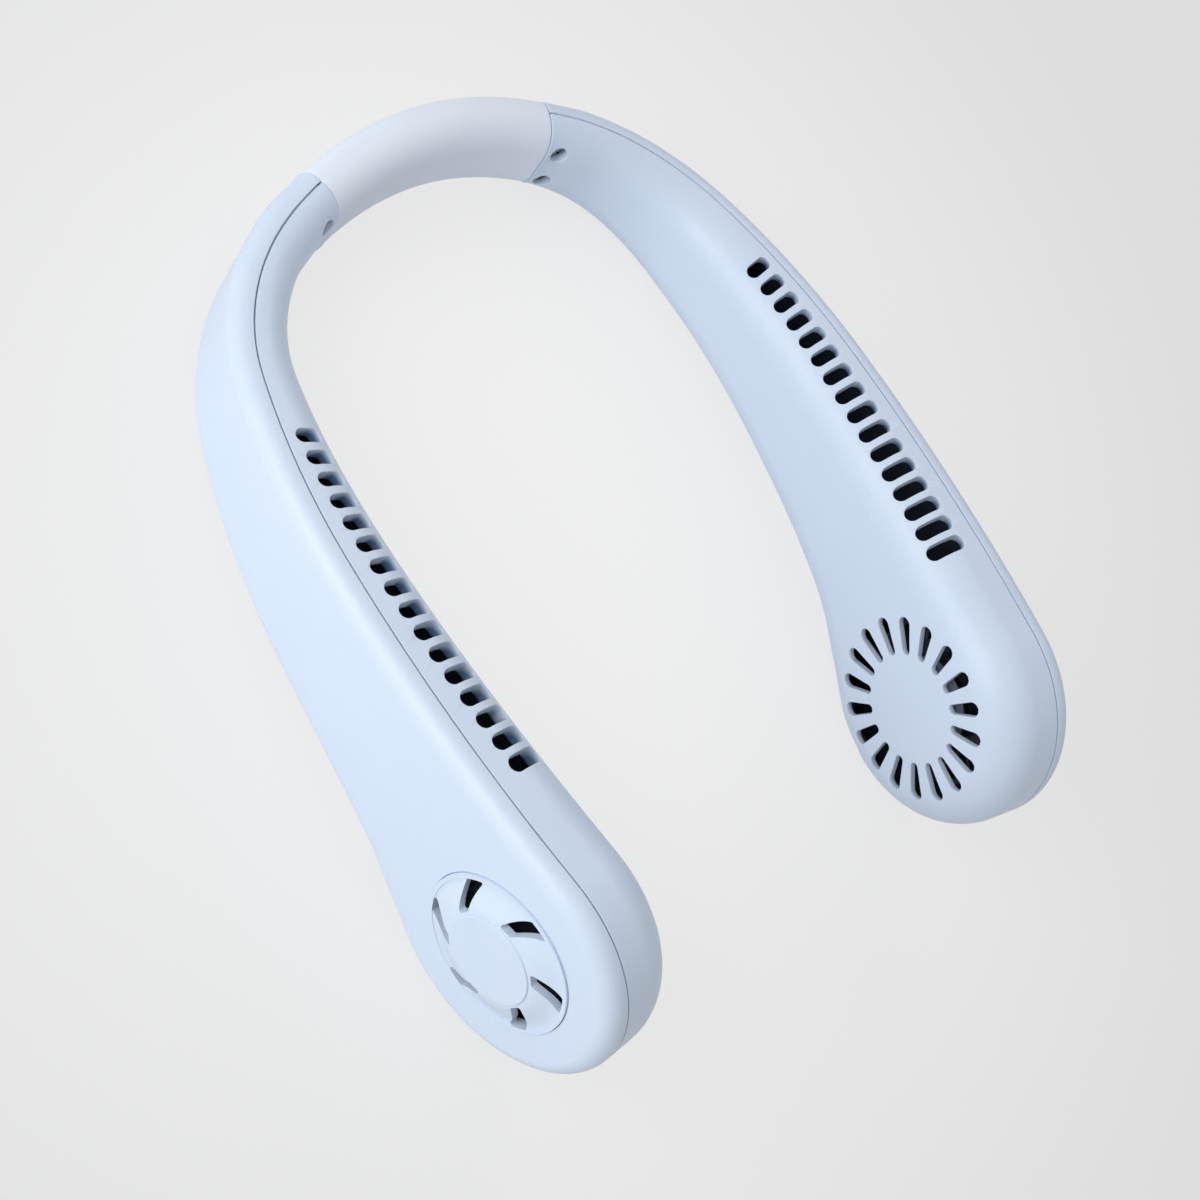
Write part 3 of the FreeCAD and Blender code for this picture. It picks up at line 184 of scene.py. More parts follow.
class NeckFanStudio(bpy.types.PropertyGroup):
    """Camera, lamps and floor."""
    eye: triple("Eye", "Camera's place", (-0.387695, -0.013237, 0.523889), "LENGTH")
    across: triple("Across", "Picture's right, as a direction", (0.7239, -0.41571, 0.55059))
    down: triple("Down", "Picture's down, as a direction", (-0.3348, -0.90948, -0.2465))
    aim: triple("Aim", "Point that the lamps face", (0.0, 0.0, 0.03), "LENGTH")
    lens: number("Lens", "Focal length in mm", 77.1606)
    sensor: number("Sensor", "Width of the camera's sensor in mm", 36.0)
    nearest: length("Nearest", "Distance from which the camera sees", 0.01)
    sky: number("Sky", "Strength of the even light", 0.50)
    key: number("Key", "Power of the large lamp on the left, in watts", 6.9)
    key_place: triple("Key place", "Place of the lamp on the left", (-0.85, 0.30, 0.50), "LENGTH")
    key_size: length("Key size", "Side of the lamp on the left", 0.8)
    rim: number("Rim", "Power of the lamp behind on the right, in watts", 1.6)
    rim_place: triple("Rim place", "Place of the lamp behind on the right", (0.70, 0.55, 0.75), "LENGTH")
    rim_size: length("Rim size", "Side of the lamp behind on the right", 0.5)
    floor_half: length("Floor", "Half the floor's side", 3.0)
    floor_rough: number("Floor roughness", "Roughness of the floor", 0.9)
    # The floor's middle and edge levels paint a pool of light, paler in the middle.
    backdrop: number("Backdrop", "Level of the floor's middle in the picture", 0.92)
    backdrop_edge: number("Backdrop edge", "Level of the floor far from the fan", 0.755)
    backdrop_from: length("Backdrop from", "Distance out where the level starts to fall", 0.02)
    backdrop_to: length("Backdrop to", "Distance out where the level stops falling", 0.30)
    backdrop_share: number("Backdrop share", "Part of the floor's look that is plain level", 0.80)


# Node trees

def socket_in(group, kind, name, value=None):
    """New input socket on a node group."""
    made = group.interface.new_socket(name=name, in_out="INPUT", socket_type="NodeSocket" + kind)
    if value is not None:
        made.default_value = value


def socket_out(group, kind, name):
    """New output socket on a node group."""
    group.interface.new_socket(name=name, in_out="OUTPUT", socket_type="NodeSocket" + kind)


def fill(node, values):
    """Sets plain values on a node's inputs, by name or place."""
    for label, value in values.items():
        node.inputs[label].default_value = value


def calc(tree, operation, *terms):
    """Result of a math node; each term is a socket or a number."""
    node = tree.nodes.new("ShaderNodeMath")
    node.operation = operation
    for place, term in enumerate(terms):
        if isinstance(term, float):
            fill(node, {place: term})
        else:
            tree.links.new(term, node.inputs[place])
    return node.outputs["Value"]


# Finishes

def shader_group(name):
    """Empty shader group with its two end nodes."""
    group = bpy.data.node_groups.new(name, "ShaderNodeTree")
    return group, group.nodes.new("NodeGroupInput"), group.nodes.new("NodeGroupOutput")


def noise(tree, vector, scale, detail):
    """Noise texture from the sockets of a vector and a scale."""
    node = tree.nodes.new("ShaderNodeTexNoise")
    fill(node, {"Detail": detail})
    tree.links.new(vector, node.inputs["Vector"])
    tree.links.new(scale, node.inputs["Scale"])
    return node.outputs["Fac"]


def spread_to(tree, value, low, high):
    """Range where most noise lies, spread from low to high."""
    node = tree.nodes.new("ShaderNodeMapRange")
    fill(node, {"From Min": NOISE_LOW, "From Max": NOISE_HIGH})
    tree.links.new(value, node.inputs["Value"])
    tree.links.new(low, node.inputs["To Min"])
    tree.links.new(high, node.inputs["To Max"])
    return node.outputs["Result"]


def mixed(tree, share, first, second):
    """Colour between two colours."""
    node = tree.nodes.new("ShaderNodeMix")
    node.data_type = "RGBA"
    tree.links.new(share, node.inputs["Factor"])
    tree.links.new(first, node.inputs["A"])
    tree.links.new(second, node.inputs["B"])
    return node.outputs["Result"]


def surface_group(name, stretch):
    """Colour drift, roughness drift and fine grain; a stretched grain gives brushed metal."""
    if name in bpy.data.node_groups:
        return bpy.data.node_groups[name]
    group, start, end = shader_group(name)
    socket_in(group, "Vector", "Vector")
    socket_in(group, "Color", "Colour", (0.5, 0.5, 0.5, 1.0))
    socket_in(group, "Color", "Shade", (0.4, 0.4, 0.4, 1.0))
    socket_in(group, "Float", "Drift Scale", 40.0)
    socket_in(group, "Float", "Grain Scale", 2500.0)
    socket_in(group, "Float", "Rough Low", 0.4)
    socket_in(group, "Float", "Rough High", 0.45)
    socket_out(group, "Color", "Colour")
    socket_out(group, "Float", "Roughness")
    socket_out(group, "Float", "Height")
    drawn = group.nodes.new("ShaderNodeMapping")
    fill(drawn, {"Scale": stretch})
    group.links.new(start.outputs["Vector"], drawn.inputs["Vector"])
    drift = noise(group, start.outputs["Vector"], start.outputs["Drift Scale"], 2.0)
    grain = noise(group, drawn.outputs["Vector"], start.outputs["Grain Scale"], 3.0)
    tint = mixed(group, drift, start.outputs["Colour"], start.outputs["Shade"])
    group.links.new(tint, end.inputs["Colour"])
    rough = spread_to(group, drift, start.outputs["Rough Low"], start.outputs["Rough High"])
    group.links.new(rough, end.inputs["Roughness"])
    group.links.new(grain, end.inputs["Height"])
    return group


def finish(name, base, shade, rough, drift_scale=45.0, grain_scale=2600.0, grain=0.06, metal=0.0,
           brushed=False, coat=0.0, sheen=0.0):
    """Procedural finish: a surface group into a Principled shader, with the grain as bump."""
    if name in bpy.data.materials:
        return bpy.data.materials[name]
    material = bpy.data.materials.new(name)
    material.use_nodes = True
    tree = material.node_tree
    shader = tree.nodes["Principled BSDF"]
    add, link = tree.nodes.new, tree.links.new
    place = add("ShaderNodeTexCoord")
    group = add("ShaderNodeGroup")
    if brushed:
        group.node_tree = surface_group("brushed_surface", BRUSHED)
    else:
        group.node_tree = surface_group("moulded_surface", (1.0, 1.0, 1.0))
    fill(group, {"Colour": (*base, 1.0), "Shade": (*shade, 1.0), "Drift Scale": drift_scale,
                 "Grain Scale": grain_scale, "Rough Low": rough[0], "Rough High": rough[1]})
    bump = add("ShaderNodeBump")
    fill(bump, {"Strength": grain, "Distance": bpy.context.scene.neck_fan_sizes.grain_tall})
    link(place.outputs["Object"], group.inputs["Vector"])
    link(group.outputs["Colour"], shader.inputs["Base Color"])
    link(group.outputs["Roughness"], shader.inputs["Roughness"])
    link(group.outputs["Height"], bump.inputs["Height"])
    link(bump.outputs["Normal"], shader.inputs["Normal"])
    fill(shader, {"Metallic": metal, "Coat Weight": coat, "Sheen Weight": sheen})
    return material


def dimmed(rgb, share):
    """The same colour, darker."""
    return tuple(value * share for value in rgb)


def paint_opening_shade(material, rgb):
    """Mixes painted shade, a darker colour, into a finish down the walls of openings, fully dark at the shade
    depth.
    """
    tree = material.node_tree
    goal = tree.nodes["Principled BSDF"].inputs["Base Color"]
    depth = tree.nodes.new("ShaderNodeAttribute")
    depth.attribute_name = DEPTH
    share = tree.nodes.new("ShaderNodeMapRange")
    fill(share, {"From Max": bpy.context.scene.neck_fan_sizes.painted_shade_deep})
    tree.links.new(depth.outputs["Fac"], share.inputs["Value"])
    mix = tree.nodes.new("ShaderNodeMix")
    mix.data_type = "RGBA"
    fill(mix, {"B": (*rgb, 1.0)})
    tree.links.new(share.outputs["Result"], mix.inputs["Factor"])
    tree.links.new(goal.links[0].from_socket, mix.inputs["A"])
    tree.links.new(mix.outputs["Result"], goal)
    return material


def finish_for(slot, tones):
    """Finish of one of the record's material slots."""
    if slot in ("shell", "cover", "button"):
        if "blue_moulding" in bpy.data.materials:
            return bpy.data.materials["blue_moulding"]
        moulding = finish("blue_moulding", tones.shell, tones.shell_shade, (0.40, 0.46), grain=0.05)
        # The moulding gets painted shade down the walls of openings.
        return paint_opening_shade(moulding, tones.shell_painted_shade)
    if slot == "sleeve":
        return finish("soft_silicone", tones.sleeve, tones.sleeve_shade, (0.52, 0.60), drift_scale=60.0,
                      grain_scale=1800.0, grain=0.08, sheen=0.12)
    if slot in ("duct", "foam", "cable"):
        return finish("dark_moulding", tones.dark, dimmed(tones.dark, 0.7), (0.5, 0.62))
    if slot in ("wheel", "switch"):
        return finish("dark_wheel", tones.wheel, dimmed(tones.wheel, 0.7), (0.34, 0.44), drift_scale=90.0,
                      coat=0.1)
    if slot == "screw":
        return finish("plated_screw", tones.screw, dimmed(tones.screw, 0.8), (0.16, 0.26), drift_scale=900.0,
                      grain_scale=9000.0, grain=0.03, metal=1.0)
    if slot in ("steel", "socket"):
        return finish("bare_steel", tones.steel, dimmed(tones.steel, 0.8), (0.28, 0.40), drift_scale=150.0,
                      grain_scale=4000.0, grain=0.08, metal=1.0, brushed=True)
    if slot == "magnet":
        return finish("dark_ferrite", tones.magnet, tones.magnet_shade, (0.5, 0.65), drift_scale=200.0)
    if slot == "bronze":
        return finish("sintered_bronze", tones.bronze, dimmed(tones.bronze, 0.75), (0.3, 0.42),
                      drift_scale=400.0, metal=1.0)
    if slot == "copper":
        return finish("wire_enamel", tones.copper, dimmed(tones.copper, 0.7), (0.22, 0.34), drift_scale=300.0,
                      grain_scale=6000.0, grain=0.2, metal=0.9, brushed=True)
    if slot == "cell":
        return finish("foil_pouch", tones.foil, tones.foil_shade, (0.3, 0.5), drift_scale=120.0,
                      grain_scale=900.0, grain=0.25, metal=0.7)
    if slot == "board":
        return finish("board_resist", tones.board, dimmed(tones.board, 0.7), (0.3, 0.4), drift_scale=500.0,
                      coat=0.2)
    return finish("clear_moulding", tones.clear, tones.clear_shade, (0.12, 0.18), drift_scale=300.0,
                  grain=0.02)


def paint(node, tones):
    """Gives a solid's object the finish of its slot."""
    obj = frame["nodes"][node]
    material = finish_for(SLOT_OF[node], tones)
    if not obj.material_slots:
        obj.data.materials.append(material)
    for slot in obj.material_slots:
        slot.material = material
    return obj


# Edges of the solids

def soft_edge_tree():
    """Node tree that shades faces smoothly and keeps edges sharper than an angle."""
    name = "soft_edges"
    if name in bpy.data.node_groups:
        return bpy.data.node_groups[name]
    tree = bpy.data.node_groups.new(name, "GeometryNodeTree")
    socket_in(tree, "Geometry", "Geometry")
    socket_in(tree, "Float", "Angle", 0.7)
    socket_out(tree, "Geometry", "Geometry")
    add, link = tree.nodes.new, tree.links.new
    start, end = add("NodeGroupInput"), add("NodeGroupOutput")
    faces = add("GeometryNodeSetShadeSmooth")
    edges = add("GeometryNodeSetShadeSmooth")
    edges.domain = "EDGE"
    bend = add("GeometryNodeInputMeshEdgeAngle")
    less = add("FunctionNodeCompare")
    less.operation = "LESS_THAN"
    link(start.outputs["Geometry"], faces.inputs["Geometry"])
    link(faces.outputs["Geometry"], edges.inputs["Geometry"])
    link(bend.outputs["Unsigned Angle"], less.inputs["A"])
    link(start.outputs["Angle"], less.inputs["B"])
    link(less.outputs["Result"], edges.inputs["Shade Smooth"])
    link(edges.outputs["Geometry"], end.inputs["Geometry"])
    return tree


def shade_depth_tree():
    """Node tree that stores each point's depth below the faces that see neither their piece nor its mate; the
    depth sets the painted shade on the walls of openings.
    """
    name = "opening_walls"
    if name in bpy.data.node_groups:
        return bpy.data.node_groups[name]
    tree = bpy.data.node_groups.new(name, "GeometryNodeTree")
    socket_in(tree, "Geometry", "Geometry")
    socket_in(tree, "Object", "Mate")
    socket_in(tree, "Float", "Reach", 0.060)
    socket_in(tree, "Float", "Lift", 0.00002)
    socket_out(tree, "Geometry", "Geometry")
    add, link = tree.nodes.new, tree.links.new
    start, end = add("NodeGroupInput"), add("NodeGroupOutput")
    place, facing = add("GeometryNodeInputPosition"), add("GeometryNodeInputNormal")
    lift = add("ShaderNodeVectorMath")
    lift.operation = "MULTIPLY_ADD"
    link(facing.outputs["Normal"], lift.inputs[0])
    link(start.outputs["Lift"], lift.inputs[1])
    link(place.outputs["Position"], lift.inputs[2])
    mate = add("GeometryNodeObjectInfo")
    link(start.outputs["Mate"], mate.inputs["Object"])
    closed = add("GeometryNodeJoinGeometry")
    link(start.outputs["Geometry"], closed.inputs["Geometry"])
    link(mate.outputs["Geometry"], closed.inputs["Geometry"])
    ray = add("GeometryNodeRaycast")
    link(closed.outputs["Geometry"], ray.inputs["Target Geometry"])
    link(lift.outputs["Vector"], ray.inputs["Source Position"])
    link(facing.outputs["Normal"], ray.inputs["Ray Direction"])
    link(start.outputs["Reach"], ray.inputs["Ray Length"])
    skin = add("GeometryNodeSeparateGeometry")
    skin.domain = "FACE"
    link(start.outputs["Geometry"], skin.inputs["Geometry"])
    link(ray.outputs["Is Hit"], skin.inputs["Selection"])
    depth = add("GeometryNodeProximity")
    depth.target_element = "FACES"
    link(skin.outputs["Inverted"], depth.inputs["Geometry"])
    mark = add("GeometryNodeStoreNamedAttribute")
    mark.data_type = "FLOAT"
    mark.domain = "POINT"
    fill(mark, {"Name": DEPTH})
    link(start.outputs["Geometry"], mark.inputs["Geometry"])
    link(depth.outputs["Distance"], mark.inputs["Value"])
    link(mark.outputs["Geometry"], end.inputs["Geometry"])
    return tree


def socket_key(tree, name):
    """Identifier of a node tree's input."""
    return next(item.identifier for item in tree.interface.items_tree
                if item.item_type == "SOCKET" and item.in_out == "INPUT" and item.name == name)


def soften(obj, rounding=0.0, mate=None):
    """Joins a solid's triangles, rounds and shades its edges; with a mate, stores the depth in its openings
    for their painted shade.
    """
    weld = obj.modifiers.new("weld", "WELD")
    weld.merge_threshold = bpy.context.scene.neck_fan_sizes.weld
    if rounding:
        bevel = obj.modifiers.new("round_edges", "BEVEL")
        bevel.limit_method = "ANGLE"
        bevel.angle_limit = SHARP
        bevel.width = rounding
        bevel.segments = 2
        bevel.use_clamp_overlap = False
        bevel.loop_slide = False
        bevel.face_strength_mode = "FSTR_ALL"
    if mate:
        walls = obj.modifiers.new("opening_walls", "NODES")
        walls.node_group = shade_depth_tree()
        walls[socket_key(walls.node_group, "Mate")] = mate
    smooth = obj.modifiers.new("soft_edges", "NODES")
    smooth.node_group = soft_edge_tree()
    smooth[socket_key(smooth.node_group, "Angle")] = SHARP
    even = obj.modifiers.new("even_normals", "WEIGHTED_NORMAL")
    even.mode = "FACE_AREA"
    even.keep_sharp = True
    even.use_face_influence = rounding > 0.0
    return obj


# Soft band

def ease(share):
    """Smooth step from 0 to 1."""
    share = min(max(share, 0.0), 1.0)
    return share * share * (3.0 - 2.0 * share)


def rest_matrix(sizes):
    """From the level drawing to the fan as it lies on the table."""
    tilt = Matrix.Rotation(-sizes.rest_tilt, 4, "X")
    return Matrix.Translation((0.0, sizes.rest_back, sizes.rest_up)) @ tilt


def on_band(sizes, run, out, up):
    """Point beside the neck arc: length along it, distance outward and height."""
    turn = run / sizes.neck_radius
    reach = sizes.neck_radius + out
    return Vector((reach * math.sin(turn), sizes.neck_back - sizes.neck_radius + reach * math.cos(turn), up))


def band_outline(sizes, run, inset, arc_steps=12, side_steps=7):
    """Rounded outline of the band at a length along it, as (outward, up) pairs."""
    top = sizes.arm_top + sizes.band_rise * (1.0 - ease(abs(run) / sizes.rise_run))
    low = top - sizes.band_height + inset
    top -= inset
    outer, inner = sizes.lid_depth - inset, sizes.lid_depth - sizes.band_thick + inset
    small, large = sizes.outer_edge - inset, sizes.inner_edge - inset
    corners = (
        (outer - small, top - small, small, 0.0),
        (inner + large, top - large, large, 90.0),
        (inner + large, low + large, large, 180.0),
        (outer - small, low + small, small, 270.0),
    )
    outline = []
    for place, (y, z, radius, begin) in enumerate(corners):
        for step in range(arc_steps + 1):
            turn = math.radians(begin + 90.0 * step / arc_steps)
            outline.append((y + radius * math.cos(turn), z + radius * math.sin(turn)))
        y, z, radius, begin = corners[(place + 1) % 4]
        turn = math.radians(begin)
        goal = (y + radius * math.cos(turn), z + radius * math.sin(turn))
        last = outline[-1]
        for step in range(1, side_steps):
            share = step / side_steps
            outline.append((last[0] + (goal[0] - last[0]) * share, last[1] + (goal[1] - last[1]) * share))
    return outline


def made_from(bm, name):
    """Linked object from a bmesh."""
    mesh = bpy.data.meshes.new(name)
    bm.to_mesh(mesh)
    bm.free()
    obj = bpy.data.objects.new(name, mesh)
    bpy.context.scene.collection.objects.link(obj)
    return obj


def lofted(name, rings, material):
    """Closed mesh object through rings of points, with flat ends and a smooth skin."""
    bm = bmesh.new()
    loops = [[bm.verts.new(point) for point in ring] for ring in rings]
    count = len(loops[0])
    for near, far in zip(loops, loops[1:]):
        for k in range(count):
            face = bm.faces.new((near[k], near[(k + 1) % count], far[(k + 1) % count], far[k]))
            face.smooth = True
    for loop in (loops[0], loops[-1]):
        end = bm.faces.new(loop)
        end.smooth = False
        for edge in end.edges:
            edge.smooth = False
    bmesh.ops.recalc_face_normals(bm, faces=bm.faces)
    obj = made_from(bm, name)
    obj.data.materials.append(material)
    return obj


def stations(sizes, last):
    """Lengths from 0 to last, close together at the start and then evenly spaced."""
    fine = sizes.seam_spacing
    rest = last - 2 * fine
    steps = max(3, round(rest / sizes.ring_spacing))
    return [0.0, fine] + [2 * fine + rest * k / steps for k in range(steps + 1)]


def bend_with(obj, node):
    """Bakes one half of a band piece's place into its mesh and hides the solid that it stands for."""
    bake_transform(obj)
    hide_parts(node)


# Geometry Nodes pieces

def instance_tree(name, extra):
    """Node tree with a geometry input and output, a material input and extra inputs."""
    tree = bpy.data.node_groups.new(name, "GeometryNodeTree")
    socket_in(tree, "Geometry", "Geometry")
    socket_in(tree, "Material", "Finish")
    for kind, label, value in extra:
        socket_in(tree, kind, label, value)
    socket_out(tree, "Geometry", "Geometry")
    return tree, tree.nodes.new("NodeGroupInput"), tree.nodes.new("NodeGroupOutput")


def end_tree(tree, start, end, geometry):
    """Ends a node tree with Realize Instances and Set Material."""
    real = tree.nodes.new("GeometryNodeRealizeInstances")
    paint_node = tree.nodes.new("GeometryNodeSetMaterial")
    tree.links.new(geometry, real.inputs["Geometry"])
    tree.links.new(real.outputs["Geometry"], paint_node.inputs["Geometry"])
    tree.links.new(start.outputs["Finish"], paint_node.inputs["Material"])
    tree.links.new(paint_node.outputs["Geometry"], end.inputs["Geometry"])


def grown(name, tree, values, matrix, material):
    """Plain mesh object from a node tree, set in place by a matrix."""
    seed = bpy.data.meshes.new(name + "_seed")
    obj = bpy.data.objects.new(name, seed)
    bpy.context.scene.collection.objects.link(obj)
    modifier = obj.modifiers.new("grow", "NODES")
    modifier.node_group = tree
    modifier[socket_key(tree, "Finish")] = material
    for label, value in values.items():
        modifier[socket_key(tree, label)] = value
    evaluated = obj.evaluated_get(bpy.context.evaluated_depsgraph_get())
    mesh = bpy.data.meshes.new_from_object(evaluated)
    obj.modifiers.remove(modifier)
    mesh.transform(matrix)
    mesh.name = name
    obj.data = mesh
    bpy.data.meshes.remove(seed)
    return obj


def contact_tree():
    """Row of flat contacts on both faces of a tongue."""
    floats = ("Pitch", "Wide", "Long", "Thick", "Tongue")
    extra = [("Int", "Count", 12)] + [("Float", label, 0.001) for label in floats]
    tree, start, end = instance_tree("charging_contacts", extra)
    add, link = tree.nodes.new, tree.links.new
    line = add("GeometryNodeMeshLine")
    line.mode = "OFFSET"
    step = add("ShaderNodeCombineXYZ")
    link(start.outputs["Pitch"], step.inputs["X"])
    link(start.outputs["Count"], line.inputs["Count"])
    link(step.outputs["Vector"], line.inputs["Offset"])
    pad = add("GeometryNodeMeshCube")
    size = add("ShaderNodeCombineXYZ")
    for label, axis in (("Wide", "X"), ("Thick", "Y"), ("Long", "Z")):
        link(start.outputs[label], size.inputs[axis])
    link(size.outputs["Vector"], pad.inputs["Size"])
    row = add("GeometryNodeInstanceOnPoints")
    link(line.outputs["Mesh"], row.inputs["Points"])
    link(pad.outputs["Mesh"], row.inputs["Instance"])
    rows = add("GeometryNodeJoinGeometry")
    gaps = calc(tree, "SUBTRACT", start.outputs["Count"], 1.0)
    middle = calc(tree, "MULTIPLY", calc(tree, "MULTIPLY", gaps, start.outputs["Pitch"]), -0.5)
    for side in (0.5, -0.5):
        shift = add("ShaderNodeCombineXYZ")
        link(middle, shift.inputs["X"])
        link(calc(tree, "MULTIPLY", start.outputs["Tongue"], side), shift.inputs["Y"])
        move = add("GeometryNodeTransform")
        link(row.outputs["Instances"], move.inputs["Geometry"])
        link(shift.outputs["Vector"], move.inputs["Translation"])
        link(move.outputs["Geometry"], rows.inputs["Geometry"])
    end_tree(tree, start, end, rows.outputs["Geometry"])
    return tree


def lathe_screw(sizes):
    """Domed screw along Z, head upwards from zero; its cross recess is cut later."""
    head, tall, shank = sizes.screw_radius, sizes.screw_tall, sizes.screw_shank
    tip, rim = -sizes.screw_long, tall * RIM_SHARE
    around, dome_steps = 40, 8
    profile = [(0.0, tip), (shank * TIP_WIDE, tip), (shank, tip + shank * TIP_LONG), (shank, 0.0)]
    profile += [(head * UNDER_HEAD, 0.0), (head, rim * UNDER_RIM), (head, rim)]
    for step in range(1, dome_steps + 1):
        turn = math.radians(90.0 * step / dome_steps)
        profile.append((head * math.cos(turn), rim + (tall - rim) * math.sin(turn)))
    bm = bmesh.new()
    rings = []
    for radius, height in profile:
        if radius < sizes.weld / 10:
            rings.append([bm.verts.new((0.0, 0.0, height))])
            continue
        turns = [2 * math.pi * k / around for k in range(around)]
        points = [(radius * math.cos(turn), radius * math.sin(turn), height) for turn in turns]
        rings.append([bm.verts.new(point) for point in points])
    for near, far in zip(rings, rings[1:]):
        for k in range(around):
            after = (k + 1) % around
            corners = [near[0]] if len(near) == 1 else [near[k], near[after]]
            corners += [far[0]] if len(far) == 1 else [far[after], far[k]]
            bm.faces.new(corners)
    bmesh.ops.recalc_face_normals(bm, faces=bm.faces)
    return made_from(bm, "screw_form")


def cross_cutter(sizes):
    """Tapered cross for the screws' recesses, standing on the recess floor."""
    bm = bmesh.new()
    low, high = sizes.screw_tall - sizes.cross_deep, sizes.screw_tall * CROSS_OVER
    for turn in (0.0, 90.0):
        made = bmesh.ops.create_cube(bm, size=1.0)["verts"]
        for vert in made:
            top = vert.co.z > 0
            long_share, wide_share = CROSS_TOP if top else CROSS_FLOOR
            x, y = vert.co.x * sizes.cross_long * long_share, vert.co.y * sizes.cross_wide * wide_share
            spin = math.radians(turn)
            vert.co = (x * math.cos(spin) - y * math.sin(spin), x * math.sin(spin) + y * math.cos(spin),
                       high if top else low)
    bmesh.ops.recalc_face_normals(bm, faces=bm.faces)
    return made_from(bm, "cross_form")


def screw_tree():
    """Screws instanced on two points, each with its cross turned its own way."""
    extra = [("Object", "Screw", None), ("Float", "Apart", 0.0106), ("Float", "First Turn", 0.4),
             ("Float", "Turn Step", 0.7)]
    tree, start, end = instance_tree("neck_screw_pair", extra)
    add, link = tree.nodes.new, tree.links.new
    info = add("GeometryNodeObjectInfo")
    link(start.outputs["Screw"], info.inputs["Object"])
    line = add("GeometryNodeMeshLine")
    line.mode = "OFFSET"
    fill(line, {"Count": 2})
    step = add("ShaderNodeCombineXYZ")
    link(start.outputs["Apart"], step.inputs["X"])
    link(step.outputs["Vector"], line.inputs["Offset"])
    index = add("GeometryNodeInputIndex")
    spin = add("ShaderNodeCombineXYZ")
    link(calc(tree, "MULTIPLY_ADD", index.outputs["Index"], start.outputs["Turn Step"],
              start.outputs["First Turn"]), spin.inputs["Z"])
    pair = add("GeometryNodeInstanceOnPoints")
    link(line.outputs["Mesh"], pair.inputs["Points"])
    link(info.outputs["Geometry"], pair.inputs["Instance"])
    link(spin.outputs["Vector"], pair.inputs["Rotation"])
    end_tree(tree, start, end, pair.outputs["Instances"])
    return tree


def clusters(node):
    """Corner points of a solid's separate pieces, lowest piece first, from its own mesh."""
    bm = bmesh.new()
    bm.from_mesh(frame["nodes"][node].data)
    bmesh.ops.remove_doubles(bm, verts=bm.verts, dist=bpy.context.scene.neck_fan_sizes.weld)
    left, groups = dict.fromkeys(bm.verts), []
    while left:
        queue, group = [left.popitem()[0]], []
        while queue:
            vert = queue.pop()
            group.append(vert.co.copy())
            for edge in vert.link_edges:
                other = edge.other_vert(vert)
                if other in left:
                    del left[other]
                    queue.append(other)
        groups.append(group)
    bm.free()
    return sorted(groups, key=lambda points: min(point.z for point in points))


def screw_direction(points, along):
    """Direction towards a screw's head, from its farthest corner, so it leans from the axis."""
    middle = sum(points, Vector()) / len(points)
    flat = [point - middle - along * (point - middle).dot(along) for point in points]
    longest = max(offset.length for offset in flat)
    ties = [offset for offset in flat if offset.length > longest - bpy.context.scene.neck_fan_sizes.weld]
    axis = min(ties, key=lambda offset: abs(offset.x)).normalized()
    reach = [(point - middle).dot(axis) for point in points]
    far = [(point - middle - axis * value).length for point, value in zip(points, reach)]
    near_end = bpy.context.scene.neck_fan_sizes.screw_tall / 2
    wide_high = max(wide for wide, value in zip(far, reach) if value > max(reach) - near_end)
    wide_low = max(wide for wide, value in zip(far, reach) if value < min(reach) + near_end)
    return axis if wide_high > wide_low else -axis


def axis_point(points, out):
    """Point on a screw's axis: the middle of its cross-section's limits."""
    side = out.orthogonal().normalized()
    other = out.cross(side)
    result = out * (sum(point.dot(out) for point in points) / len(points))
    for direction in (side, other):
        values = [point.dot(direction) for point in points]
        result += direction * (min(values) + max(values)) / 2
    return result


# Studio

def studio_lamp(name, place, aim, size, power, rgb):
    """Square area lamp that faces a point."""
    data = bpy.data.lights.new(name, "AREA")
    data.shape = "SQUARE"
    data.size = size
    data.energy = power
    data.color = rgb
    lamp = bpy.data.objects.new(name, data)
    lamp.location = place
    lamp.rotation_euler = (Vector(aim) - Vector(place)).to_track_quat("-Z", "Y").to_euler()
    bpy.context.scene.collection.objects.link(lamp)


def floor_material(tones, studio):
    """Pale floor that the camera sees at a plain level, with a painted pool of light that makes it paler in
    the middle, and the fan's shadow kept.
    """
    material = bpy.data.materials.new("studio_floor")
    material.use_nodes = True
    tree = material.node_tree
    shader = tree.nodes["Principled BSDF"]
    fill(shader, {"Base Color": (*tones.floor, 1.0), "Roughness": studio.floor_rough})
    add, link = tree.nodes.new, tree.links.new
    place = add("ShaderNodeTexCoord")
    away = add("ShaderNodeVectorMath")
    away.operation = "LENGTH"
    link(place.outputs["Object"], away.inputs[0])
    # Painted pool of light: the floor's level falls from its middle to its edge.
    level = add("ShaderNodeMapRange")
    level.interpolation_type = "SMOOTHSTEP"
    fill(level, {"From Min": studio.backdrop_from, "From Max": studio.backdrop_to,
                 "To Min": studio.backdrop, "To Max": studio.backdrop_edge})
    link(away.outputs["Value"], level.inputs["Value"])
    glow = add("ShaderNodeEmission")
    fill(glow, {"Color": (1.0, 1.0, 1.0, 1.0)})
    link(level.outputs["Result"], glow.inputs["Strength"])
    path = add("ShaderNodeLightPath")
    seen = path.outputs["Is Camera Ray"]
    for ray in ("Is Glossy Ray", "Is Transmission Ray"):
        seen = calc(tree, "MAXIMUM", seen, path.outputs[ray])
    mix = add("ShaderNodeMixShader")
    link(calc(tree, "MULTIPLY", seen, studio.backdrop_share), mix.inputs["Fac"])
    link(shader.outputs["BSDF"], mix.inputs[1])
    link(glow.outputs["Emission"], mix.inputs[2])
    link(mix.outputs["Shader"], tree.nodes["Material Output"].inputs["Surface"])
    return material


# Operators

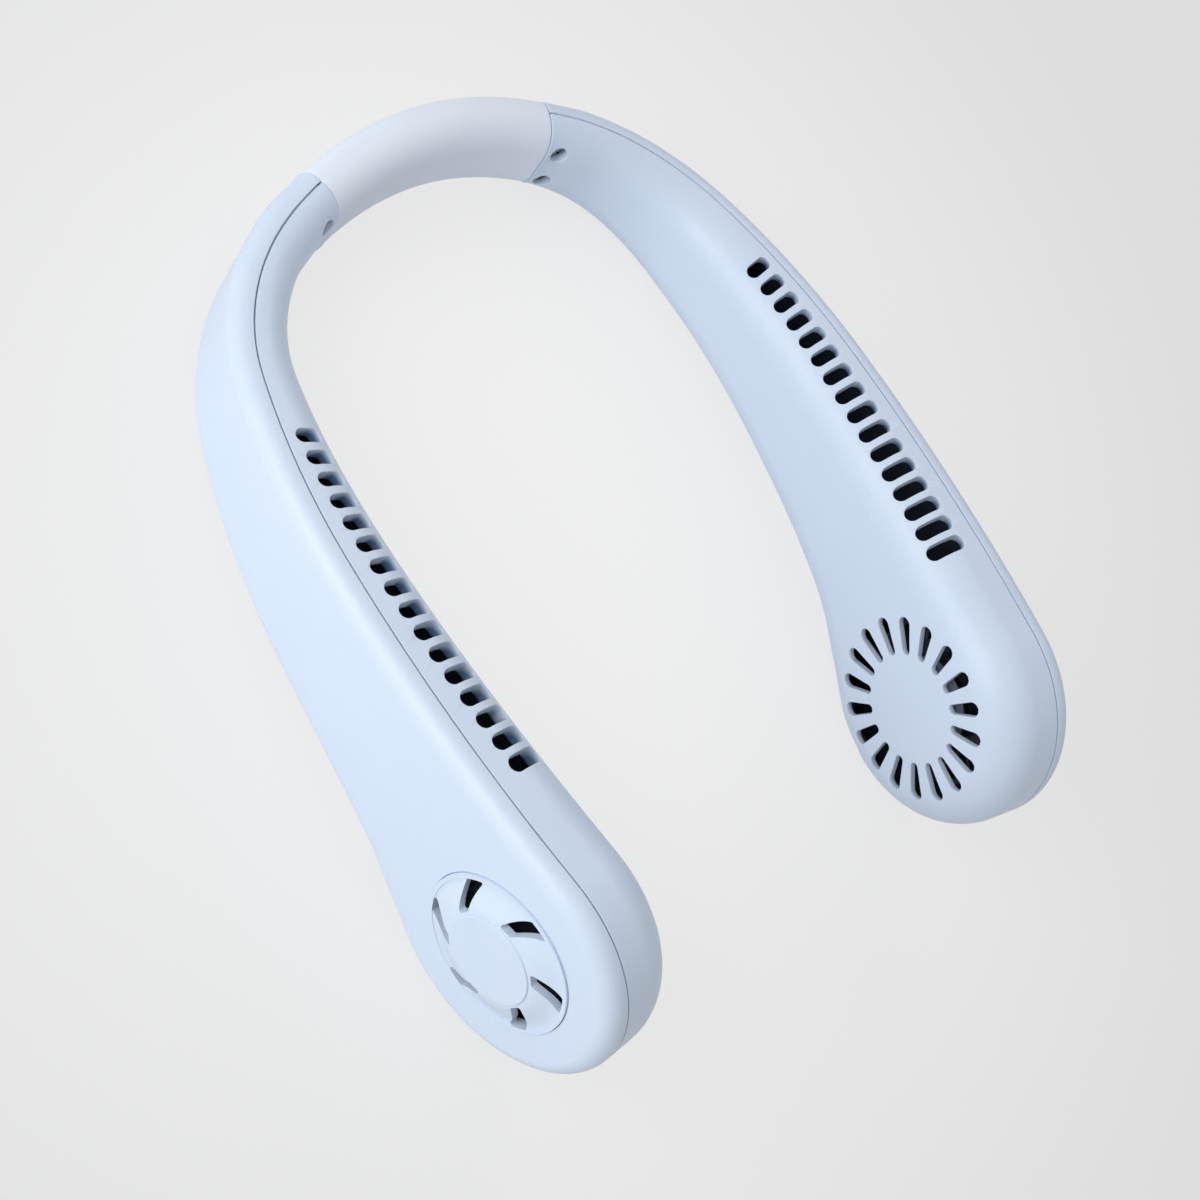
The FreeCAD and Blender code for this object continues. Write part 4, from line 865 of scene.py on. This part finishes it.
class NECKFAN_OT_arms(bpy.types.Operator):
    """Round the edges of the arm shells and give them and the swirl covers their finish"""
    bl_idname = "neckfan.arms"
    bl_label = "Arm shells"

    def execute(self, context):
        sizes, tones = context.scene.neck_fan_sizes, context.scene.neck_fan_colours
        for side in SIDES:
            lid = soften(paint(side + "_outer_shell", tones), sizes.edge_round)
            # Inner shells, with the outer shell as mate, get painted shade down their openings' walls.
            soften(paint(side + "_inner_shell", tones), sizes.edge_round, lid)
            soften(paint(side + "_swirl_cover", tones))
        return {"FINISHED"}


class NECKFAN_OT_sleeve(bpy.types.Operator):
    """Make the soft sleeve of the band, as two halves"""
    bl_idname = "neckfan.sleeve"
    bl_label = "Soft sleeve"

    def execute(self, context):
        sizes, tones = context.scene.neck_fan_sizes, context.scene.neck_fan_colours
        rest = rest_matrix(sizes)
        last = sizes.band_half - sizes.sleeve_gap
        roll = sizes.sleeve_roll
        path = [(run, sizes.sleeve_inset) for run in stations(sizes, last - roll)]
        roll_steps = 5
        for step in range(1, roll_steps + 1):
            turn = math.radians(90.0 * step / roll_steps)
            inset = sizes.sleeve_inset + roll * (1.0 - math.cos(turn))
            path.append((last - roll + roll * math.sin(turn), inset))
        for side, sign in SIDES.items():
            rings = []
            for run, inset in path:
                outline = band_outline(sizes, run, inset)
                rings.append([rest @ on_band(sizes, sign * run, out, up) for out, up in outline])
            half = lofted(side + "_sleeve_half", rings, finish_for("sleeve", tones))
            bend_with(half, "neck_sleeve")
        return {"FINISHED"}


class NECKFAN_OT_band_core(bpy.types.Operator):
    """Make the spring strip and the cable inside the band, as halves"""
    bl_idname = "neckfan.band_core"
    bl_label = "Band core"

    def execute(self, context):
        sizes, tones = context.scene.neck_fan_sizes, context.scene.neck_fan_colours
        rest = rest_matrix(sizes)
        thick, tall = sizes.strip_thick / 2, sizes.strip_height / 2
        flat = [(sizes.strip_offset + a * thick, sizes.core_height + b * tall)
                for a, b in ((1, -1), (1, 1), (-1, 1), (-1, -1))]
        around = 16
        turns = [math.radians(360.0 * k / around) for k in range(around)]
        round_cable = [(sizes.cable_offset + sizes.cable_radius * math.cos(turn),
                        sizes.core_height + sizes.cable_radius * math.sin(turn)) for turn in turns]
        cores = (("strip", flat, sizes.strip_reach, "spring_strip", "steel"),
                 ("cable", round_cable, sizes.cable_reach, "band_cable", "cable"))
        for name, outline, reach, node, slot in cores:
            for side, sign in SIDES.items():
                runs = stations(sizes, sizes.band_half + reach)
                rings = [[rest @ on_band(sizes, sign * run, out, up) for out, up in outline] for run in runs]
                half = lofted(side + "_" + name + "_half", rings, finish_for(slot, tones))
                bend_with(half, node)
        return {"FINISHED"}


class NECKFAN_OT_neck_screws(bpy.types.Operator):
    """Set domed cross-head screws in the arms beside the band"""
    bl_idname = "neckfan.neck_screws"
    bl_label = "Neck screws"

    def execute(self, context):
        sizes, tones = context.scene.neck_fan_sizes, context.scene.neck_fan_colours
        form, cutter = lathe_screw(sizes), cross_cutter(sizes)
        cut = form.modifiers.new("cross", "BOOLEAN")
        cut.operation = "DIFFERENCE"
        cut.object = cutter
        cut.use_self = True
        evaluated = form.evaluated_get(context.evaluated_depsgraph_get())
        mesh = bpy.data.meshes.new_from_object(evaluated)
        form.modifiers.remove(cut)
        form.data = mesh
        tree = screw_tree()
        material = finish_for("screw", tones)
        for side, sign in SIDES.items():
            low, high = clusters(side + "_neck_screws")
            apart = sum(high, Vector()) / len(high) - sum(low, Vector()) / len(low)
            along = apart.normalized()
            out = screw_direction(low, along)
            head = max(point.dot(out) for point in low)
            base = axis_point(low, out)
            base += out * (head - sizes.screw_tall - base.dot(out))
            across = out.cross(along)
            turn = Matrix((along, across, out)).transposed().to_4x4()
            values = {"Screw": form, "Apart": apart.length, "First Turn": FIRST_TURN * sign,
                      "Turn Step": TURN_STEP}
            screws = grown(side + "_neck_screw_pair", tree, values, Matrix.Translation(base) @ turn, material)
            screws.data.shade_smooth()
            screws.data.set_sharp_from_angle(angle=SHARP)
            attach(screws, side + "_arm")
            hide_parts(side + "_neck_screws")
        for used in (form, cutter):
            data = used.data
            bpy.data.objects.remove(used)
            bpy.data.meshes.remove(data)
        return {"FINISHED"}


class NECKFAN_OT_charging_contacts(bpy.types.Operator):
    """Lay the rows of contacts on the charging socket's tongue"""
    bl_idname = "neckfan.charging_contacts"
    bl_label = "Charging contacts"

    def execute(self, context):
        sizes, tones = context.scene.neck_fan_sizes, context.scene.neck_fan_colours
        port = MOUNTS["charging_port"]
        up = -Vector(port["axis"]).normalized()
        out = -Vector(JOINTS["power_button_press"]["axis"])
        out = (out - up * out.dot(up)).normalized()
        ahead = out.cross(up)
        place = Vector(port["pos_m"]) + up * sizes.tongue_in
        turn = Matrix((ahead, out, up)).transposed().to_4x4()
        values = {"Count": sizes.contact_count, "Pitch": sizes.contact_pitch, "Wide": sizes.contact_wide,
                  "Long": sizes.contact_long, "Thick": sizes.contact_thick, "Tongue": sizes.tongue_thick}
        rows = grown("charging_contact_rows", contact_tree(), values, Matrix.Translation(place) @ turn,
                     finish_for("bronze", tones))
        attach(rows, "right_arm")
        return {"FINISHED"}


class NECKFAN_OT_controls(bpy.types.Operator):
    """Finish the button, the light, the socket and the board"""
    bl_idname = "neckfan.controls"
    bl_label = "Controls"

    def execute(self, context):
        tones = context.scene.neck_fan_colours
        for node in ("power_button", "light_pipe", "charging_socket", "circuit_board", "board_screws",
                     "push_switch", "status_led"):
            soften(paint(node, tones))
        return {"FINISHED"}


class NECKFAN_OT_blowers(bpy.types.Operator):
    """Finish the blower wheels and their motors"""
    bl_idname = "neckfan.blowers"
    bl_label = "Blowers"

    def execute(self, context):
        tones = context.scene.neck_fan_colours
        for side in SIDES:
            for piece in ("impeller", "rotor_can", "magnet_ring", "shaft", "bearing", "stator_core",
                          "windings", "motor_base", "motor_screws"):
                soften(paint(side + "_" + piece, tones))
        return {"FINISHED"}


class NECKFAN_OT_insides(bpy.types.Operator):
    """Finish the ducts, plugs, cells and pads inside the arms"""
    bl_idname = "neckfan.insides"
    bl_label = "Insides"

    def execute(self, context):
        tones = context.scene.neck_fan_colours
        for side in SIDES:
            for piece in ("air_duct", "end_plug", "battery_cell", "battery_pad"):
                soften(paint(side + "_" + piece, tones))
        return {"FINISHED"}


class NECKFAN_OT_stage(bpy.types.Operator):
    """Lay the floor, set the lamps and the camera"""
    bl_idname = "neckfan.stage"
    bl_label = "Studio"

    def execute(self, context):
        studio, tones = context.scene.neck_fan_studio, context.scene.neck_fan_colours
        bm = bmesh.new()
        bmesh.ops.create_grid(bm, x_segments=1, y_segments=1, size=studio.floor_half)
        floor = made_from(bm, "studio_floor")
        floor.data.materials.append(floor_material(tones, studio))
        world = bpy.data.worlds.new("studio_light")
        world.use_nodes = True
        sky = world.node_tree.nodes["Background"]
        fill(sky, {"Color": (*tones.sky_light, 1.0), "Strength": studio.sky})
        context.scene.world = world
        studio_lamp("key_lamp", studio.key_place, studio.aim, studio.key_size, studio.key, tones.key_light)
        studio_lamp("rim_lamp", studio.rim_place, studio.aim, studio.rim_size, studio.rim, tones.rim_light)
        data = bpy.data.cameras.new("photo_camera")
        data.sensor_width = studio.sensor
        data.lens = studio.lens
        data.clip_start = studio.nearest
        camera = bpy.data.objects.new("photo_camera", data)
        across, down = Vector(studio.across), Vector(studio.down)
        back = across.cross(-down)
        turn = Matrix((across, -down, back)).transposed().to_4x4()
        camera.matrix_world = Matrix.Translation(Vector(studio.eye)) @ turn
        context.scene.collection.objects.link(camera)
        context.scene.camera = camera
        context.scene.view_settings.view_transform = "Standard"
        return {"FINISHED"}


OPERATORS = (
    NECKFAN_OT_stage,
    NECKFAN_OT_arms,
    NECKFAN_OT_sleeve,
    NECKFAN_OT_band_core,
    NECKFAN_OT_neck_screws,
    NECKFAN_OT_charging_contacts,
    NECKFAN_OT_controls,
    NECKFAN_OT_blowers,
    NECKFAN_OT_insides,
)


class NECKFAN_PT_panel(bpy.types.Panel):
    """Lists the fan's operators and sizes"""
    bl_idname = "NECKFAN_PT_panel"
    bl_label = "Neck Fan"
    bl_space_type = "VIEW_3D"
    bl_region_type = "UI"
    bl_category = "Neck Fan"

    def draw(self, context):
        for operator in OPERATORS:
            self.layout.operator(operator.bl_idname)
        scene = context.scene
        for group in (scene.neck_fan_colours, scene.neck_fan_sizes, scene.neck_fan_studio):
            column = self.layout.column(align=True)
            for name in group.__annotations__:
                column.prop(group, name)


CLASSES = (NeckFanSizes, NeckFanColours, NeckFanStudio, *OPERATORS, NECKFAN_PT_panel)


def register():
    for item in CLASSES:
        bpy.utils.register_class(item)
    bpy.types.Scene.neck_fan_sizes = bpy.props.PointerProperty(type=NeckFanSizes)
    bpy.types.Scene.neck_fan_colours = bpy.props.PointerProperty(type=NeckFanColours)
    bpy.types.Scene.neck_fan_studio = bpy.props.PointerProperty(type=NeckFanStudio)


def unregister():
    del bpy.types.Scene.neck_fan_studio
    del bpy.types.Scene.neck_fan_colours
    del bpy.types.Scene.neck_fan_sizes
    for item in reversed(CLASSES):
        bpy.utils.unregister_class(item)


def main():
    register()
    bpy.ops.neckfan.stage()
    bpy.ops.neckfan.arms()
    bpy.ops.neckfan.sleeve()
    bpy.ops.neckfan.band_core()
    bpy.ops.neckfan.neck_screws()
    bpy.ops.neckfan.charging_contacts()
    bpy.ops.neckfan.controls()
    bpy.ops.neckfan.blowers()
    bpy.ops.neckfan.insides()


if __name__ == "__main__":
    main()
